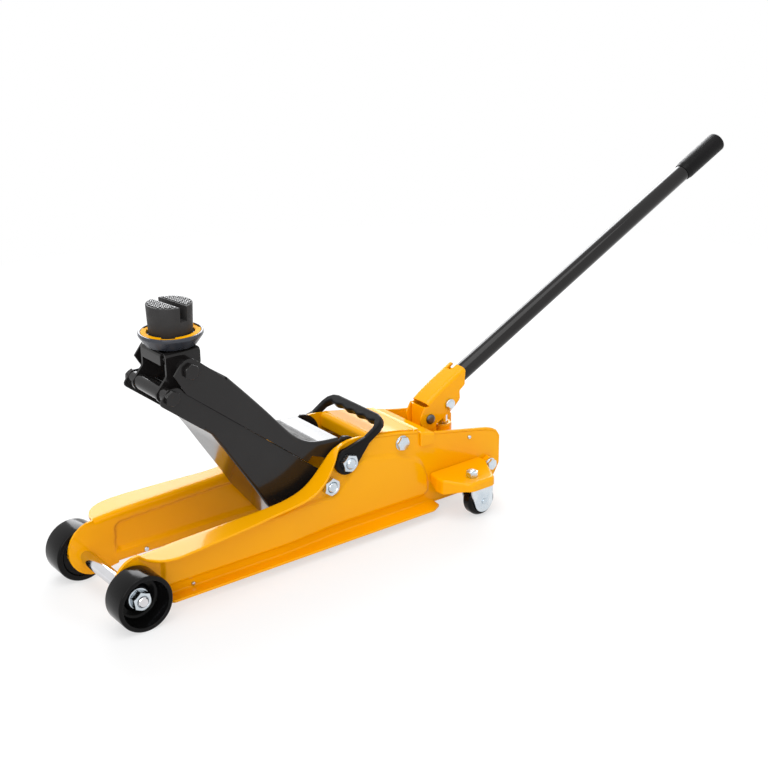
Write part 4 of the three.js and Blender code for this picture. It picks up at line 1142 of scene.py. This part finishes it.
def floor():
    """A pale floor that keeps the jack's shadow and fades to plain white further out."""
    mesh = bpy.data.meshes.new("floor")
    corners = [(-1, -1), (1, -1), (1, 1), (-1, 1)]
    mesh.from_pydata([(x * FLOOR_REACH, y * FLOOR_REACH, 0) for x, y in corners], [], [(0, 1, 2, 3)])
    made = linked("floor", mesh)
    material, nodes, links, shader = new_material("floor_white")
    fed(shader, Base_Color=(FLOOR_GREY, FLOOR_GREY, FLOOR_GREY, 1), Roughness=0.9, Specular_IOR_Level=0.0)
    glow = node(nodes, "ShaderNodeEmission", Color=(1, 1, 1, 1), Strength=1.0)
    distance = nodes.new("ShaderNodeVectorMath")
    distance.operation = "LENGTH"
    links.new(nodes.new("ShaderNodeTexCoord").outputs["Object"], distance.inputs[0])
    fade = node(nodes, "ShaderNodeMapRange", From_Min=FADE[0], From_Max=FADE[1], To_Min=0.6, To_Max=1.0)
    links.new(distance.outputs["Value"], fade.inputs["Value"])
    share = combined(nodes, links, "MULTIPLY", shows_background(nodes, links), fade.outputs["Result"])
    mix = nodes.new("ShaderNodeMixShader")
    links.new(share, mix.inputs["Fac"])
    links.new(shader.outputs["BSDF"], mix.inputs[1])
    links.new(glow.outputs["Emission"], mix.inputs[2])
    links.new(mix.outputs["Shader"], nodes["Material Output"].inputs["Surface"])
    made.data.materials.append(material)


def world():
    """Even white light, seen as plain white by the camera and in reflections."""
    made = bpy.data.worlds.new("studio")
    bpy.context.scene.world = made
    made.use_nodes = True
    nodes, links = made.node_tree.nodes, made.node_tree.links
    background = fed(nodes["Background"], Color=(1, 1, 1, 1))
    strength = node(nodes, "ShaderNodeMapRange", To_Min=WORLD_LIGHT, To_Max=1.0)
    links.new(shows_background(nodes, links), strength.inputs["Value"])
    links.new(strength.outputs["Result"], background.inputs["Strength"])


def softbox(name, offset, size, power, colour=(1, 1, 1)):
    """A square lamp at an offset from the jack's middle, aimed at it and unseen by the camera."""
    data = bpy.data.lights.new(name, "AREA")
    data.shape = "RECTANGLE"
    data.size, data.size_y = size
    data.energy = power
    data.color = colour
    made = linked(name, data)
    made.location = (cad_bounds[0] + cad_bounds[1]) / 2 + offset
    made.rotation_euler = (-offset).to_track_quat("-Z", "Y").to_euler()
    made.visible_camera = False


def camera():
    data = bpy.data.cameras.new("camera")
    data.lens = LENS
    data.sensor_width = 36
    made = linked("camera", data)
    turn = Matrix.Rotation(AZIMUTH, 4, "Z") @ Matrix.Rotation(math.pi / 2 - ELEVATION, 4, "X")
    made.matrix_world = Matrix.Translation(CAMERA_PLACE) @ turn @ Matrix.Rotation(ROLL, 4, "Z")
    bpy.context.scene.camera = made


floor()
world()
level = math.cos(ELEVATION)
mirror_way = Vector((-math.sin(AZIMUTH) * level, math.cos(AZIMUTH) * level, math.sin(ELEVATION)))
softbox("back_softbox", 3.0 * mirror_way + Vector((0, 0, 0.3)), (3.4, 1.8), 115, (0.97, 0.98, 1.0))
softbox("top_softbox", Vector((-0.6, -0.6, 2.4)), (2.4, 2.0), 34)
softbox("left_softbox", Vector((-2.4, -1.9, 1.5)), (1.6, 2.0), 34)
camera()
bpy.context.scene.view_settings.view_transform = "Standard"
